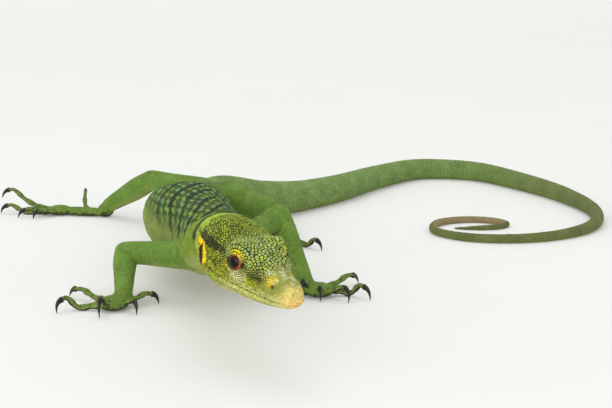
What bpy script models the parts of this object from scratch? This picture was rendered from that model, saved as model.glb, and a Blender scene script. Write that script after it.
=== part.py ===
# An emerald tree monitor, walking, with its head lowered and turned to its left and its tail laid in a hook
# Sizes in the tables are millimetres, and MM turns them into metres where a mesh is made.
# The animal walks along -Y, +X is its left and +Z is up. The origin is on the floor, below the middle of
# the whole animal's box.

import math

import bmesh
import bpy
import numpy as np
from mathutils import Matrix, Vector

MM = 0.001
GAP = 0.3  # between neighbouring pieces

# The head: where its snout is, and how it is turned and lowered
SNOUT = np.array([2.2, -167.1, 27.5])
HEAD_TURN = math.radians(26.5)
HEAD_DROP = math.radians(9)
HEAD_SIDES = 28
HEAD_RINGS = 24
NECK_AT = 48.0  # where the head node ends, behind the snout

EYE_RADIUS = 3.1
EYE_BACK, EYE_OUT, EYE_UP = 26.0, 6.0, 2.2
LID_RING, LID_THICK = 2.7, 0.7
LID_OUT = 1.35  # from the eye's centre, the way the eye looks
LID_LONG = 1.12  # how much longer than tall the opening is
LID_SIDES, LID_STEPS = 6, 18
EYE_MESH = (18, 12)  # segments and rings of an eye and its socket
LOOK_AHEAD, LOOK_UP = 0.28, 0.16  # against one sideways
EAR_BACK, EAR_OUT, EAR_UP = 42.0, 11.5, -0.6
EAR_SIZE = (1.5, 1.9, 3.1)  # half sizes along the head, outward and up
EAR_MESH = (14, 10)
NOSTRIL_BACK, NOSTRIL_OUT, NOSTRIL_UP = 8.3, 5.0, 1.0
NOSTRIL_SIZE = (0.95, 0.75, 0.6)
NOSTRIL_MESH = (10, 6)
# The line of the mouth, as distances behind the snout and up from the head's axis
MOUTH_LINE = (
    (-3.0, -1.6),
    (2.0, -1.9),
    (8.0, -3.0),
    (15.0, -3.6),
    (24.0, -3.9),
    (31.0, -4.2),
    (35.5, -5.4),
)
JAW_END = 39.0  # where the lower jaw's node ends below the cheek
JAW_SLANT = 1.5  # how much further back its end lies at the throat
JAW_CORNER = -7.0  # the level where that end starts
HEAD_REACH = 22.0  # more than the head's half width and depth

# The head's cross-sections: distance behind the snout, half width, height above and depth below the axis,
# squareness, and how much narrower the top is than the widest level
HEAD_SECTIONS = (
    (0.0, 1.2, 1.1, 1.2, 2.0, 0.00),
    (0.6, 2.0, 1.9, 2.1, 2.1, 0.02),
    (1.8, 2.8, 2.8, 3.0, 2.2, 0.05),
    (4.0, 3.6, 3.6, 4.2, 2.4, 0.12),
    (8.0, 4.5, 4.3, 5.5, 2.5, 0.20),
    (13.0, 5.5, 4.9, 6.9, 2.6, 0.26),
    (18.0, 6.7, 5.8, 8.0, 2.6, 0.26),
    (22.0, 7.7, 6.8, 8.8, 2.5, 0.22),
    (27.0, 8.9, 7.4, 9.7, 2.4, 0.20),
    (32.0, 10.0, 7.6, 10.6, 2.3, 0.22),
    (37.0, 11.0, 7.9, 12.0, 2.2, 0.22),
    (42.0, 11.2, 8.3, 12.0, 2.2, 0.20),
    (46.0, 10.0, 8.3, 10.8, 2.2, 0.14),
)
# Swellings and hollows of the head: distance back, out and up, how far each reaches, and its height
HEAD_BULGES = (
    (24.0, 7.2, 6.0, 4.4, 2.20),
    (18.6, 6.6, 3.8, 3.8, 1.05),
    (29.5, 6.8, 6.2, 3.6, 0.45),
    (16.0, 6.6, 0.4, 3.4, -0.45),
    (38.0, 9.0, 3.5, 4.5, 0.60),
    (4.5, 3.2, 2.8, 2.4, 0.35),
)

# The rest of the trunk: place of the centre, half width, height above, depth below, squareness, narrowing
TRUNK_SECTIONS = (
    (-21.8, -117.5, 33.6, 8.9, 7.8, 7.8, 2.1, 0.06),
    (-25.1, -102.0, 29.4, 8.5, 7.2, 7.6, 2.1, 0.0),
    (-26.2, -86.0, 24.4, 9.2, 8.0, 7.4, 2.1, 0.0),
    (-26.2, -69.0, 20.6, 12.8, 10.2, 10.2, 2.1, 0.0),
    (-29.4, -50.0, 19.2, 14.4, 11.4, 11.8, 2.1, 0.0),
    (-36.6, -26.0, 18.2, 16.0, 11.6, 12.2, 2.1, 0.0),
    (-40.3, -2.0, 17.8, 16.6, 11.6, 12.4, 2.1, 0.0),
    (-43.0, 18.0, 16.0, 13.8, 9.8, 11.0, 2.1, 0.0),
    (-40.4, 35.0, 13.6, 9.9, 8.2, 9.0, 2.1, 0.0),
    (-30.6, 53.0, 13.0, 8.8, 9.0, 8.6, 2.0, 0.0),
    (-15.0, 71.0, 9.4, 8.0, 7.2, 8.1, 2.0, 0.0),
    (0.5, 88.0, 7.0, 6.8, 6.3, 7.1, 2.0, 0.0),
    (18.0, 109.4, 6.1, 6.1, 5.9, 6.3, 2.0, 0.0),
    (37.4, 141.4, 5.3, 5.5, 5.4, 5.4, 2.0, 0.0),
    (59.2, 165.4, 4.8, 5.0, 4.9, 4.9, 2.0, 0.0),
    (84.6, 162.2, 4.4, 4.6, 4.6, 4.5, 2.0, 0.0),
    (105.0, 136.4, 3.9, 4.1, 4.2, 4.0, 2.0, 0.0),
    (120.4, 105.4, 3.4, 3.6, 3.7, 3.5, 2.0, 0.0),
    (127.6, 74.0, 2.7, 2.9, 2.9, 2.8, 2.0, 0.0),
    (121.8, 47.6, 2.3, 2.5, 2.5, 2.4, 2.0, 0.0),
    (107.0, 32.0, 1.95, 2.1, 2.1, 2.05, 2.0, 0.0),
    (88.0, 25.2, 1.75, 1.9, 1.9, 1.85, 2.0, 0.0),
    (69.0, 28.0, 1.65, 1.8, 1.8, 1.75, 2.0, 0.0),
    (57.0, 40.6, 1.5, 1.65, 1.65, 1.6, 2.0, 0.0),
    (59.5, 57.0, 1.4, 1.55, 1.55, 1.5, 2.0, 0.0),
    (72.0, 63.8, 1.35, 1.45, 1.45, 1.45, 2.0, 0.0),
    (83.0, 61.2, 1.3, 1.4, 1.4, 1.4, 2.0, 0.0),
    (87.8, 55.4, 1.2, 1.3, 1.3, 1.3, 2.0, 0.0),
    (83.4, 50.4, 1.15, 1.25, 1.25, 1.25, 2.0, 0.0),
    (74.5, 49.0, 0.9, 1.0, 1.0, 1.0, 2.0, 0.0),
    (65.5, 50.6, 0.4, 0.45, 0.45, 0.45, 2.0, 0.0),
)

# Where the trunk is parted, as distances along it behind the snout, and each node's sides and rings
TRUNK_NODES = (
    ("neck", 48.0, 84.0, 26, 8),
    ("torso_front", 84.0, 134.0, 26, 10),
    ("torso_rear", 134.0, 186.0, 26, 10),
    ("pelvis", 186.0, 224.0, 26, 9),
    ("tail_1", 224.0, 290.0, 18, 12),
    ("tail_2", 290.0, 352.0, 16, 11),
    ("tail_3", 352.0, 412.0, 14, 11),
    ("tail_4", 412.0, 470.0, 12, 11),
    ("tail_5", 470.0, 524.0, 12, 12),
    ("tail_6", 524.0, 574.0, 10, 11),
    ("tail_7", 574.0, 622.0, 10, 14),
    ("tail_8", 622.0, 760.0, 8, 18),
)

CUTTER_SIDES, CUTTER_RINGS = 30, 64  # of the grown trunk that cuts the roots of the limbs

# The two long segments of each limb, the upper one first: name, root, far joint, and radii from root to end
LIMBS = (
    ("upper_arm_right", (-30.4, -75.0, 18.4), (-58.2, -52.6, 14.4), (5.2, 4.8, 4.2, 3.7)),
    ("forearm_right", (-58.2, -52.6, 14.4), (-56.7, -71.4, 5.4), (3.7, 4.0, 3.5, 3.1)),
    ("upper_arm_left", (-20.5, -68.0, 19.0), (-4.9, -46.5, 26.4), (5.6, 4.7, 4.0, 3.7)),
    ("forearm_left", (-4.9, -46.5, 26.4), (3.5, -56.0, 5.4), (3.9, 4.0, 3.5, 3.3)),
    ("thigh_right", (-36.5, 47.0, 15.0), (-60.0, 62.0, 18.6), (7.2, 6.2, 5.0, 4.2)),
    ("shank_right", (-60.0, 62.0, 18.6), (-79.8, 77.0, 5.0), (4.2, 4.6, 3.9, 3.1)),
    ("thigh_left", (-27.5, 44.0, 14.0), (-8.9, 17.0, 14.6), (7.2, 6.8, 5.4, 4.2)),
    ("shank_left", (-8.9, 17.0, 14.6), (-12.5, 42.0, 5.0), (4.2, 4.6, 3.9, 3.1)),
)
LIMB_SIDES = 14
LIMB_RINGS = 11
ROUND_END = (0.45, 0.8, 0.98)  # where a limb segment's round end is measured, as shares of its radius
UPRIGHT = 0.8  # a segment steeper than this has its sections turned from +X and not from +Z

# Hands and feet: the eggs of each sole (centre, half length, half width, half height, turn in degrees),
# then each digit's points, the last of which is its claw's tip
SOLES = {
    "hand_right": (
        (-57.0, -72.2, 3.6, 3.3, 3.3, 3.5, 0),
        (-59.6, -75.6, 2.4, 5.4, 4.6, 2.6, 205),
    ),
    "hand_left": (
        (4.4, -57.0, 3.6, 3.4, 3.3, 3.5, 0),
        (8.8, -58.0, 2.4, 5.4, 4.6, 2.6, -20),
    ),
    "foot_right": (
        (-81.4, 76.4, 2.9, 3.4, 3.0, 3.2, 0),
        (-91.4, 78.8, 1.8, 14.0, 3.4, 1.9, 168),
        (-101.6, 80.6, 2.0, 5.4, 4.5, 2.2, 168),
    ),
    "foot_left": (
        (-12.4, 40.0, 2.9, 3.4, 3.0, 3.2, 0),
        (-8.2, 31.6, 1.8, 12.0, 3.4, 1.9, -63),
        (-4.2, 23.4, 2.0, 5.4, 4.5, 2.2, -63),
    ),
}
DIGITS = {
    "hand_right": (
        (
            (-57.7, -73.6, 2.3), (-53.1, -72.2, 2.8), (-49.7, -69.8, 4.1), (-47.2, -68.6, 3.6),
            (-45.4, -68.4, 0.0),
        ),
        (
            (-58.1, -75.6, 2.5), (-54.9, -78.0, 3.3), (-52.7, -79.8, 4.6), (-52.0, -80.9, 4.1),
            (-51.4, -82.4, 0.0),
        ),
        (
            (-59.9, -76.4, 2.5), (-61.9, -80.4, 3.7), (-62.7, -83.6, 6.3), (-62.9, -85.2, 5.9),
            (-62.8, -87.4, 0.0),
        ),
        (
            (-60.5, -76.2, 2.3), (-66.3, -76.6, 1.7), (-71.4, -76.4, 1.1), (-74.9, -77.8, 4.7),
            (-76.6, -79.0, 4.3), (-77.8, -80.8, 0.0),
        ),
        (
            (-59.5, -74.0, 2.3), (-66.1, -68.8, 2.2), (-71.7, -63.2, 3.8), (-74.9, -60.0, 3.2),
            (-77.0, -58.2, 0.0),
        ),
    ),
    "hand_left": (
        (
            (6.5, -57.6, 2.6), (4.9, -59.4, 4.0), (3.7, -60.8, 6.3), (3.3, -61.8, 6.1),
            (3.2, -63.4, 2.6),
        ),
        (
            (7.7, -58.4, 2.4), (8.7, -61.0, 3.0), (9.1, -62.8, 4.5), (9.2, -64.0, 4.2),
            (9.4, -65.8, 0.0),
        ),
        (
            (9.9, -58.4, 2.4), (13.7, -61.6, 3.0), (16.9, -64.4, 5.0), (17.9, -65.6, 4.7),
            (18.7, -67.6, 0.0),
        ),
        (
            (10.5, -57.8, 2.4), (15.3, -57.4, 1.9), (19.7, -58.2, 1.3), (22.9, -60.4, 4.6),
            (24.5, -61.8, 4.2), (26.3, -63.8, 0.0),
        ),
        (
            (9.3, -56.4, 2.4), (14.7, -50.6, 2.7), (18.9, -45.2, 4.2), (21.2, -42.2, 3.6),
            (23.1, -40.0, 0.0),
        ),
    ),
    "foot_right": (
        (
            (-101.6, 79.2, 1.9), (-105.2, 75.8, 2.4), (-108.2, 73.0, 3.5), (-110.0, 71.6, 3.1),
            (-111.5, 70.4, 0.0),
        ),
        (
            (-103.6, 79.8, 1.9), (-109.0, 77.4, 1.9), (-113.6, 75.4, 3.7), (-116.0, 74.2, 3.3),
            (-118.4, 73.2, 0.0),
        ),
        (
            (-105.0, 80.4, 1.7), (-110.6, 80.8, 1.4), (-116.6, 81.0, 1.0), (-122.6, 81.8, 4.0),
            (-124.8, 82.2, 3.6), (-127.6, 82.9, 0.0),
        ),
        (
            (-104.8, 81.2, 2.0), (-111.0, 84.6, 2.6), (-117.4, 87.6, 5.2), (-123.0, 89.8, 9.2),
            (-125.4, 90.6, 8.9), (-128.4, 91.4, 5.0),
        ),
        (
            (-88.2, 78.8, 2.2), (-91.0, 85.4, 2.2), (-92.4, 92.0, 4.4), (-92.8, 97.4, 7.2),
            (-92.9, 102.0, 5.2),
        ),
    ),
    "foot_left": (
        (
            (-5.1, 24.4, 2.1), (-8.3, 21.2, 2.4), (-10.3, 18.2, 3.5), (-11.1, 16.2, 3.1),
            (-11.5, 14.2, 0.0),
        ),
        (
            (-4.5, 23.4, 2.1), (-5.3, 18.4, 2.2), (-5.7, 14.2, 3.9), (-5.8, 12.0, 3.5),
            (-5.7, 9.4, 0.0),
        ),
        (
            (-3.5, 22.6, 1.9), (-2.1, 17.6, 1.7), (-0.9, 13.0, 2.3), (-0.1, 9.6, 3.9),
            (0.3, 7.8, 3.5), (0.7, 5.4, 0.0),
        ),
        (
            (-3.3, 22.0, 1.9), (1.3, 19.8, 1.9), (4.9, 16.6, 1.2), (7.7, 13.8, 4.0),
            (8.9, 12.6, 3.7), (10.5, 10.8, 0.0),
        ),
        (
            (-10.1, 35.0, 2.3), (-5.5, 36.8, 2.3), (-2.1, 40.4, 3.9), (-0.9, 42.6, 3.5),
            (0.1, 45.0, 0.0),
        ),
    ),
}
DIGIT_RADII = (1.5, 1.1, 0.98, 0.88)
CLAW_RADIUS = 1.0
CLAW_TIP = 0.1  # the radius that its point keeps
CLAW_TAPER = 0.8
CLAW_CROWN = 0.55  # how far ahead its hook reaches before it turns down, against its length
CLAW_SLIM = 0.72  # a claw's width against its height
CLAW_REST = 0.02  # how far a claw's tip stays above the floor
DIGIT_SIDES = 8
SOLE_MESH = (14, 8)
CLAW_SIDES = 6
CLAW_RINGS = 6
FLOOR_SIZE = 500.0  # of the block below the floor that cuts the soles flat

# Colours of the pieces: base colour and roughness
FINISHES = {
    "green_skin": ((0.14, 0.27, 0.05), 0.55),
    "head_skin": ((0.30, 0.36, 0.08), 0.5),
    "tail_skin": ((0.13, 0.24, 0.06), 0.55),
    "eye": ((0.10, 0.03, 0.02), 0.08),
    "claw": ((0.025, 0.02, 0.018), 0.3),
}


def material(name):
    """The Principled material of a finish, made on first use."""
    if name in bpy.data.materials:
        return bpy.data.materials[name]
    colour, roughness = FINISHES[name]
    made = bpy.data.materials.new(name)
    made.use_nodes = True
    shader = made.node_tree.nodes["Principled BSDF"]
    shader.inputs["Base Color"].default_value = (*colour, 1.0)
    shader.inputs["Roughness"].default_value = roughness
    shader.inputs["Metallic"].default_value = 0.0
    return made


def unit(vector):
    """The same direction at length 1."""
    return vector / np.linalg.norm(vector)


def head_axes():
    """The head's directions: backward along its axis, to its left, and up."""
    left = np.array([math.cos(HEAD_TURN), math.sin(HEAD_TURN), 0.0])
    level = np.array([-math.sin(HEAD_TURN), math.cos(HEAD_TURN), 0.0])
    back = level * math.cos(HEAD_DROP) + np.array([0.0, 0.0, math.sin(HEAD_DROP)])
    return back, left, np.cross(left, back)


def head_place(back, out, up):
    """A point given as distances behind the snout, to the left and up."""
    along, left, upward = head_axes()
    return SNOUT + along * back + left * out + upward * up


class Track:
    """A smooth curve through rows of numbers whose first three are a place, read at distances along it."""

    FINE = 24

    def __init__(self, rows):
        rows = np.array(rows, float)
        steps = np.sqrt(np.linalg.norm(np.diff(rows[:, :3], axis=0), axis=1))
        at = np.concatenate([[0.0], np.cumsum(steps)])
        slopes = np.gradient(rows, at, axis=0)
        pieces = []
        for i in range(len(rows) - 1):
            width = at[i + 1] - at[i]
            last = i == len(rows) - 2
            t = np.linspace(0.0, 1.0, self.FINE + 1)[: None if last else -1, None]
            pieces.append(
                rows[i] * (2 * t**3 - 3 * t**2 + 1)
                + slopes[i] * width * (t**3 - 2 * t**2 + t)
                + rows[i + 1] * (3 * t**2 - 2 * t**3)
                + slopes[i + 1] * width * (t**3 - t**2)
            )
        self.rows = np.concatenate(pieces)
        lengths = np.linalg.norm(np.diff(self.rows[:, :3], axis=0), axis=1)
        self.along = np.concatenate([[0.0], np.cumsum(lengths)])
        self.length = self.along[-1]

    def read(self, distances):
        """The rows at the distances."""
        return np.array([np.interp(distances, self.along, column) for column in self.rows.T]).T

    def tangents(self, distances):
        """The track's directions at the distances."""
        step = self.length / 2000
        ahead = self.read(np.minimum(np.array(distances) + step, self.length))[:, :3]
        behind = self.read(np.maximum(np.array(distances) - step, 0.0))[:, :3]
        return (ahead - behind) / np.linalg.norm(ahead - behind, axis=1)[:, None]


def section(half_width, top, bottom, square, narrow, sides):
    """The outline of one cross-section, as sideways and upward distances."""
    angles = np.arange(sides) * 2 * math.pi / sides
    c, s = np.cos(angles), np.sin(angles)
    up = np.sign(s) * np.abs(s) ** (2 / square)
    out = half_width * np.sign(c) * np.abs(c) ** (2 / square) * (1 - narrow * np.clip(up, 0, 1))
    return out, np.where(up > 0, up * top, up * bottom)


def rings_along(track, distances, sides, grow=0.0, upward=(0, 0, 1), bulges=()):
    """Cross-sections set square to the track. A row of it holds a place, then the section's sizes."""
    rings = []
    for row, tangent in zip(track.read(distances), track.tangents(distances)):
        up = unit(np.array(upward, float) - tangent * np.dot(upward, tangent))
        left = np.cross(tangent, up)
        out, height = section(*(row[3:6] + grow), row[6], row[7], sides)
        points = row[:3] + np.outer(out, left) + np.outer(height, up)
        for centre, reach, push in bulges:
            near = np.exp(-((np.linalg.norm(points - centre, axis=1) / reach) ** 2))
            outward = points - row[:3]
            outward /= np.linalg.norm(outward, axis=1)[:, None]
            points = points + outward * (near * push)[:, None]
        rings.append(points)
    return rings


def mesh_object(name, bm, finish):
    """A linked object made from a bmesh, in metres and shaded smooth."""
    bmesh.ops.scale(bm, vec=(MM, MM, MM), verts=bm.verts)
    bmesh.ops.recalc_face_normals(bm, faces=bm.faces)
    mesh = bpy.data.meshes.new(name)
    bm.to_mesh(mesh)
    bm.free()
    mesh.shade_smooth()
    mesh.materials.append(material(finish))
    made = bpy.data.objects.new(name, mesh)
    bpy.context.scene.collection.objects.link(made)
    return made


def loft(name, rings, finish, floor=None):
    """A closed skin over the rings, with the end rings filled. Points below the floor rest on it."""
    bm = bmesh.new()
    loops = []
    for ring in rings:
        if floor is not None:
            ring = np.column_stack([ring[:, :2], np.maximum(ring[:, 2], floor)])
        loops.append([bm.verts.new(point) for point in ring])
    for near, far in zip(loops, loops[1:]):
        for i in range(len(near)):
            j = (i + 1) % len(near)
            bm.faces.new((near[i], near[j], far[j], far[i]))
    bm.faces.new(loops[0])
    bm.faces.new(loops[-1])
    return mesh_object(name, bm, finish)


def ellipsoid(name, centre, sizes, axes, finish, fineness):
    """An egg with its half sizes along three given directions."""
    bm = bmesh.new()
    bmesh.ops.create_uvsphere(bm, u_segments=fineness[0], v_segments=fineness[1], radius=1.0)
    turn = Matrix.Translation(centre) @ Matrix(axes).transposed().to_4x4() @ Matrix.Diagonal((*sizes, 1))
    bmesh.ops.transform(bm, matrix=turn, verts=bm.verts)
    return mesh_object(name, bm, finish)


def keep_largest(mesh):
    """Drops every closed surface of the mesh but the one that holds the most."""
    bm = bmesh.new()
    bm.from_mesh(mesh)
    left, shells = set(bm.verts), []
    while left:
        shell, edge = set(), [left.pop()]
        while edge:
            vert = edge.pop()
            shell.add(vert)
            more = [e.other_vert(vert) for e in vert.link_edges if e.other_vert(vert) in left]
            left.difference_update(more)
            edge.extend(more)
        corners = [v.co for v in shell]
        size = [max(c[k] for c in corners) - min(c[k] for c in corners) for k in range(3)]
        shells.append((size[0] * size[1] * size[2], shell))
    shells.sort(key=lambda item: item[0])
    for _, shell in shells[:-1]:
        bmesh.ops.delete(bm, geom=list(shell), context="VERTS")
    bm.to_mesh(mesh)
    bm.free()


def combine(target, tools, operation):
    """Applies one Boolean with closed meshes to the target, and removes them."""
    group = bpy.data.collections.new("tools")
    for tool in tools:
        group.objects.link(tool)
    cut = target.modifiers.new("combine", "BOOLEAN")
    cut.operation = operation
    cut.solver = "EXACT"
    cut.operand_type = "COLLECTION"
    cut.collection = group
    bpy.context.view_layer.update()
    mesh = bpy.data.meshes.new_from_object(target.evaluated_get(bpy.context.evaluated_depsgraph_get()))
    target.modifiers.remove(cut)
    target.data = mesh
    for tool in tools:
        bpy.data.objects.remove(tool)
    bpy.data.collections.remove(group)
    keep_largest(mesh)
    mesh.materials.clear()
    return target


def spine():
    """The track of the whole trunk, from the snout to the tail's tip."""
    head = [(*head_place(back, 0, 0), *sizes) for back, *sizes in HEAD_SECTIONS]
    return Track(head + list(TRUNK_SECTIONS))


def head_bulges():
    """The head's swellings on both sides: place, reach and height of each."""
    found = []
    for back, out, up, reach, push in HEAD_BULGES:
        for side in (-1, 1):
            found.append((head_place(back, side * out, up), reach, push))
    return found


def head_solid(name, track):
    """The whole head with the jaw, before it is parted."""
    distances = NECK_AT * np.linspace(0, 1, HEAD_RINGS) ** 1.25
    distances[-1] = NECK_AT - GAP / 2
    return loft(name, rings_along(track, distances, HEAD_SIDES, bulges=head_bulges()), "head_skin")


def jaw_region(name, grow):
    """A block that holds all of the head below the line of the mouth and ahead of the jaw's end."""
    left = head_axes()[1]
    line = [(back, up + grow) for back, up in MOUTH_LINE]
    line.append((JAW_END + grow, JAW_CORNER))
    line.append((JAW_END + JAW_SLANT + grow, -HEAD_REACH))
    line.append((MOUTH_LINE[0][0], -HEAD_REACH))
    bm = bmesh.new()
    face = bm.faces.new([bm.verts.new(head_place(back, -HEAD_REACH, up)) for back, up in line])
    raised = bmesh.ops.extrude_face_region(bm, geom=[face])
    moved = [item for item in raised["geom"] if isinstance(item, bmesh.types.BMVert)]
    bmesh.ops.translate(bm, vec=Vector(left * 2 * HEAD_REACH), verts=moved)
    return mesh_object(name, bm, "head_skin")


def lid_ring(side):
    """The swollen rim of the lids around one eye, square to the way the eye looks."""
    back, left, up = head_axes()
    look = unit(left * side - back * LOOK_AHEAD + up * LOOK_UP)
    along = unit(back - look * np.dot(look, back))
    centre = head_place(EYE_BACK, side * EYE_OUT, EYE_UP) + look * LID_OUT
    bm = bmesh.new()
    rim = []
    for turn in np.linspace(0, 2 * math.pi, LID_SIDES, endpoint=False):
        outward = LID_RING + LID_THICK * math.cos(turn)
        rim.append(bm.verts.new(centre + look * LID_THICK * math.sin(turn) + along * outward))
    edges = [bm.edges.new((rim[i], rim[(i + 1) % LID_SIDES])) for i in range(LID_SIDES)]
    whole = {"angle": 2 * math.pi, "steps": LID_STEPS, "use_merge": True}
    bmesh.ops.spin(bm, geom=rim + edges, cent=centre, axis=look, **whole)
    stretch = Matrix.Scale(LID_LONG, 4, Vector(along))
    bmesh.ops.transform(bm, matrix=stretch, space=Matrix.Translation(-Vector(centre)), verts=bm.verts)
    return mesh_object(f"lid_{side}", bm, "head_skin")


def make_head(track):
    """The head, with lids, ears, nostrils and the line of the mouth, its lower jaw and its eyes."""
    axes = head_axes()
    head = head_solid("head", track)
    combine(head, [lid_ring(-1), lid_ring(1)], "UNION")
    hollows = [jaw_region("mouth", GAP / 2)]
    for side, word in ((-1, "right"), (1, "left")):
        eye = head_place(EYE_BACK, side * EYE_OUT, EYE_UP)
        socket = [EYE_RADIUS + GAP] * 3
        hollows.append(ellipsoid(f"socket_{word}", eye, socket, axes, "head_skin", EYE_MESH))
        ear = head_place(EAR_BACK, side * EAR_OUT, EAR_UP)
        hollows.append(ellipsoid(f"ear_{word}", ear, EAR_SIZE, axes, "head_skin", EAR_MESH))
        nostril = head_place(NOSTRIL_BACK, side * NOSTRIL_OUT, NOSTRIL_UP)
        hollows.append(ellipsoid(f"nostril_{word}", nostril, NOSTRIL_SIZE, axes, "head_skin", NOSTRIL_MESH))
        ellipsoid(f"eye_{word}", eye, [EYE_RADIUS] * 3, axes, "eye", EYE_MESH)
    combine(head, hollows, "DIFFERENCE")
    head.data.materials.append(material("head_skin"))
    jaw = head_solid("lower_jaw", track)
    combine(jaw, [jaw_region("chin", -GAP / 2)], "INTERSECT")
    jaw.data.materials.append(material("head_skin"))


def make_trunk(track):
    """The neck, the body and the tail, parted by thin plane gaps."""
    for name, start, end, sides, rings in TRUNK_NODES:
        end = min(end, track.length)
        distances = np.linspace(start + GAP / 2, end - GAP / 2, rings)
        finish = "tail_skin" if name.startswith("tail") else "green_skin"
        loft(name, rings_along(track, distances, sides), finish, floor=0.0)


def bone_track(root, far, radii):
    """A straight limb segment's track, which is rounded off past its far joint."""
    root, far = np.array(root), np.array(far)
    ahead = unit(far - root)
    rows = []
    for share, radius in zip(np.linspace(0, 1, len(radii)), radii):
        rows.append((*(root + (far - root) * share), radius, radius, radius, 2.0, 0.0))
    last = radii[-1]
    for share in ROUND_END:
        radius = last * math.sqrt(1 - share * share)
        rows.append((*(far + ahead * last * share), radius, radius, radius, 2.0, 0.0))
    return Track(rows)


def bone(name, root, far, radii, finish, grow=0.0):
    """One limb segment, with more rings towards its round end."""
    track = bone_track(root, far, radii)
    ahead = unit(np.array(far) - np.array(root))
    upward = (0, 0, 1) if abs(ahead[2]) < UPRIGHT else (1, 0, 0)
    distances = track.length * np.sin(np.linspace(0, math.pi / 2, LIMB_RINGS))
    return loft(name, rings_along(track, distances, LIMB_SIDES, grow, upward), finish)


def grown_trunk(track):
    """The trunk from the neck to the root of the tail, grown by the gap, to cut the roots of the limbs."""
    distances = np.linspace(TRUNK_NODES[0][1], TRUNK_NODES[4][2], CUTTER_RINGS)
    return loft("grown_trunk", rings_along(track, distances, CUTTER_SIDES, grow=GAP), "green_skin")


def floor_block():
    """A block whose top is the floor."""
    bm = bmesh.new()
    bmesh.ops.create_cube(bm, size=FLOOR_SIZE)
    bmesh.ops.translate(bm, vec=(0, 0, -FLOOR_SIZE / 2), verts=bm.verts)
    return mesh_object("floor_block", bm, "claw")


def make_limbs(track):
    """The four limbs' long segments. Each is cut clear of what it grows from."""
    for upper, lower in zip(LIMBS[::2], LIMBS[1::2]):
        for name, *sizes in (upper, lower):
            made = bone(name, *sizes, "green_skin")
            if name == upper[0]:
                cutter = grown_trunk(track)
            else:
                cutter = bone("grown_bone", *upper[1:], "green_skin", grow=GAP)
            combine(made, [cutter], "DIFFERENCE")
            made.data.materials.append(material("green_skin"))


def digit_track(points):
    """A finger's or toe's track, with its radii spread evenly over the points."""
    shares = np.linspace(0, 1, len(points))
    radii = np.interp(shares, np.linspace(0, 1, len(DIGIT_RADII)), DIGIT_RADII)
    return Track([(*point, radius, radius, radius, 2.0, 0.0) for point, radius in zip(points, radii)])


def digit(name, points):
    """One finger or toe, up to the flat face that its claw grows from."""
    track = digit_track(points)
    distances = np.linspace(0, track.length, 2 * len(points))
    return loft(name, rings_along(track, distances, DIGIT_SIDES), "green_skin")


def claw(name, points, tip):
    """A hooked claw, from a flat face just past its digit's end, over and down to its point."""
    track = digit_track(points)
    ahead = track.tangents([track.length])[0]
    start = np.array(points[-1]) + ahead * GAP
    tip = np.array(tip)
    reach = np.linalg.norm(tip - start)
    crown = start + ahead * CLAW_CROWN * reach
    rows = []
    for share in np.linspace(0, 1, CLAW_RINGS - 1):
        place = start * (1 - share) ** 2 + crown * 2 * share * (1 - share) + tip * share**2
        radius = CLAW_RADIUS * (1 - share) ** CLAW_TAPER + CLAW_TIP
        rows.append((*place, radius * CLAW_SLIM, radius, radius, 2.0, 0.0))
    hook = Track(rows)
    distances = np.linspace(0, hook.length, CLAW_RINGS)
    rings = []
    across = unit(np.cross(ahead, tip - start))
    for row, tangent in zip(hook.read(distances), hook.tangents(distances)):
        if not rings:
            tangent = ahead
        up = unit(np.cross(across, tangent))
        out, height = section(*row[3:], CLAW_SIDES)
        rings.append(row[:3] + np.outer(out, across) + np.outer(height, up))
    loft(name, rings, "claw", floor=CLAW_REST)


def make_feet():
    """The hands and feet, each with its digits fused to it, and a claw on each digit."""
    above = {name.replace("forearm", "hand").replace("shank", "foot"): sizes for name, *sizes in LIMBS}
    for name, sole in SOLES.items():
        eggs = []
        for *centre, length, width, height, turn in sole:
            ahead = (math.cos(math.radians(turn)), math.sin(math.radians(turn)), 0)
            across = (-ahead[1], ahead[0], 0)
            sizes = (length, width, height)
            eggs.append(ellipsoid(name, centre, sizes, (ahead, across, (0, 0, 1)), "green_skin", SOLE_MESH))
        made, *digits = eggs
        for number, points in enumerate(DIGITS[name], 1):
            digits.append(digit(f"{name}_{number}", points[:-1]))
            claw(f"claw_{name}_{number}", points[:-1], points[-1])
        combine(made, digits, "UNION")
        grown = bone("grown_segment", *above[name], "green_skin", grow=GAP)
        combine(made, [grown, floor_block()], "DIFFERENCE")
        made.data.materials.append(material("green_skin"))


def settle():
    """Moves all of it together, so that the origin is on the floor below the middle of the whole box."""
    corners = np.array([v.co for made in bpy.data.objects for v in made.data.vertices])
    middle = (corners.min(axis=0) + corners.max(axis=0)) / 2
    for made in bpy.data.objects:
        made.data.transform(Matrix.Translation((-middle[0], -middle[1], -corners[:, 2].min())))


def main():
    for old in list(bpy.data.objects):
        bpy.data.objects.remove(old)
    track = spine()
    make_head(track)
    make_trunk(track)
    make_limbs(track)
    make_feet()
    settle()


main()
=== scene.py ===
import math

import bmesh
import bpy
import numpy as np
from mathutils import Matrix, Vector, noise
from mathutils.bvhtree import BVHTree
from mathutils.kdtree import KDTree


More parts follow.
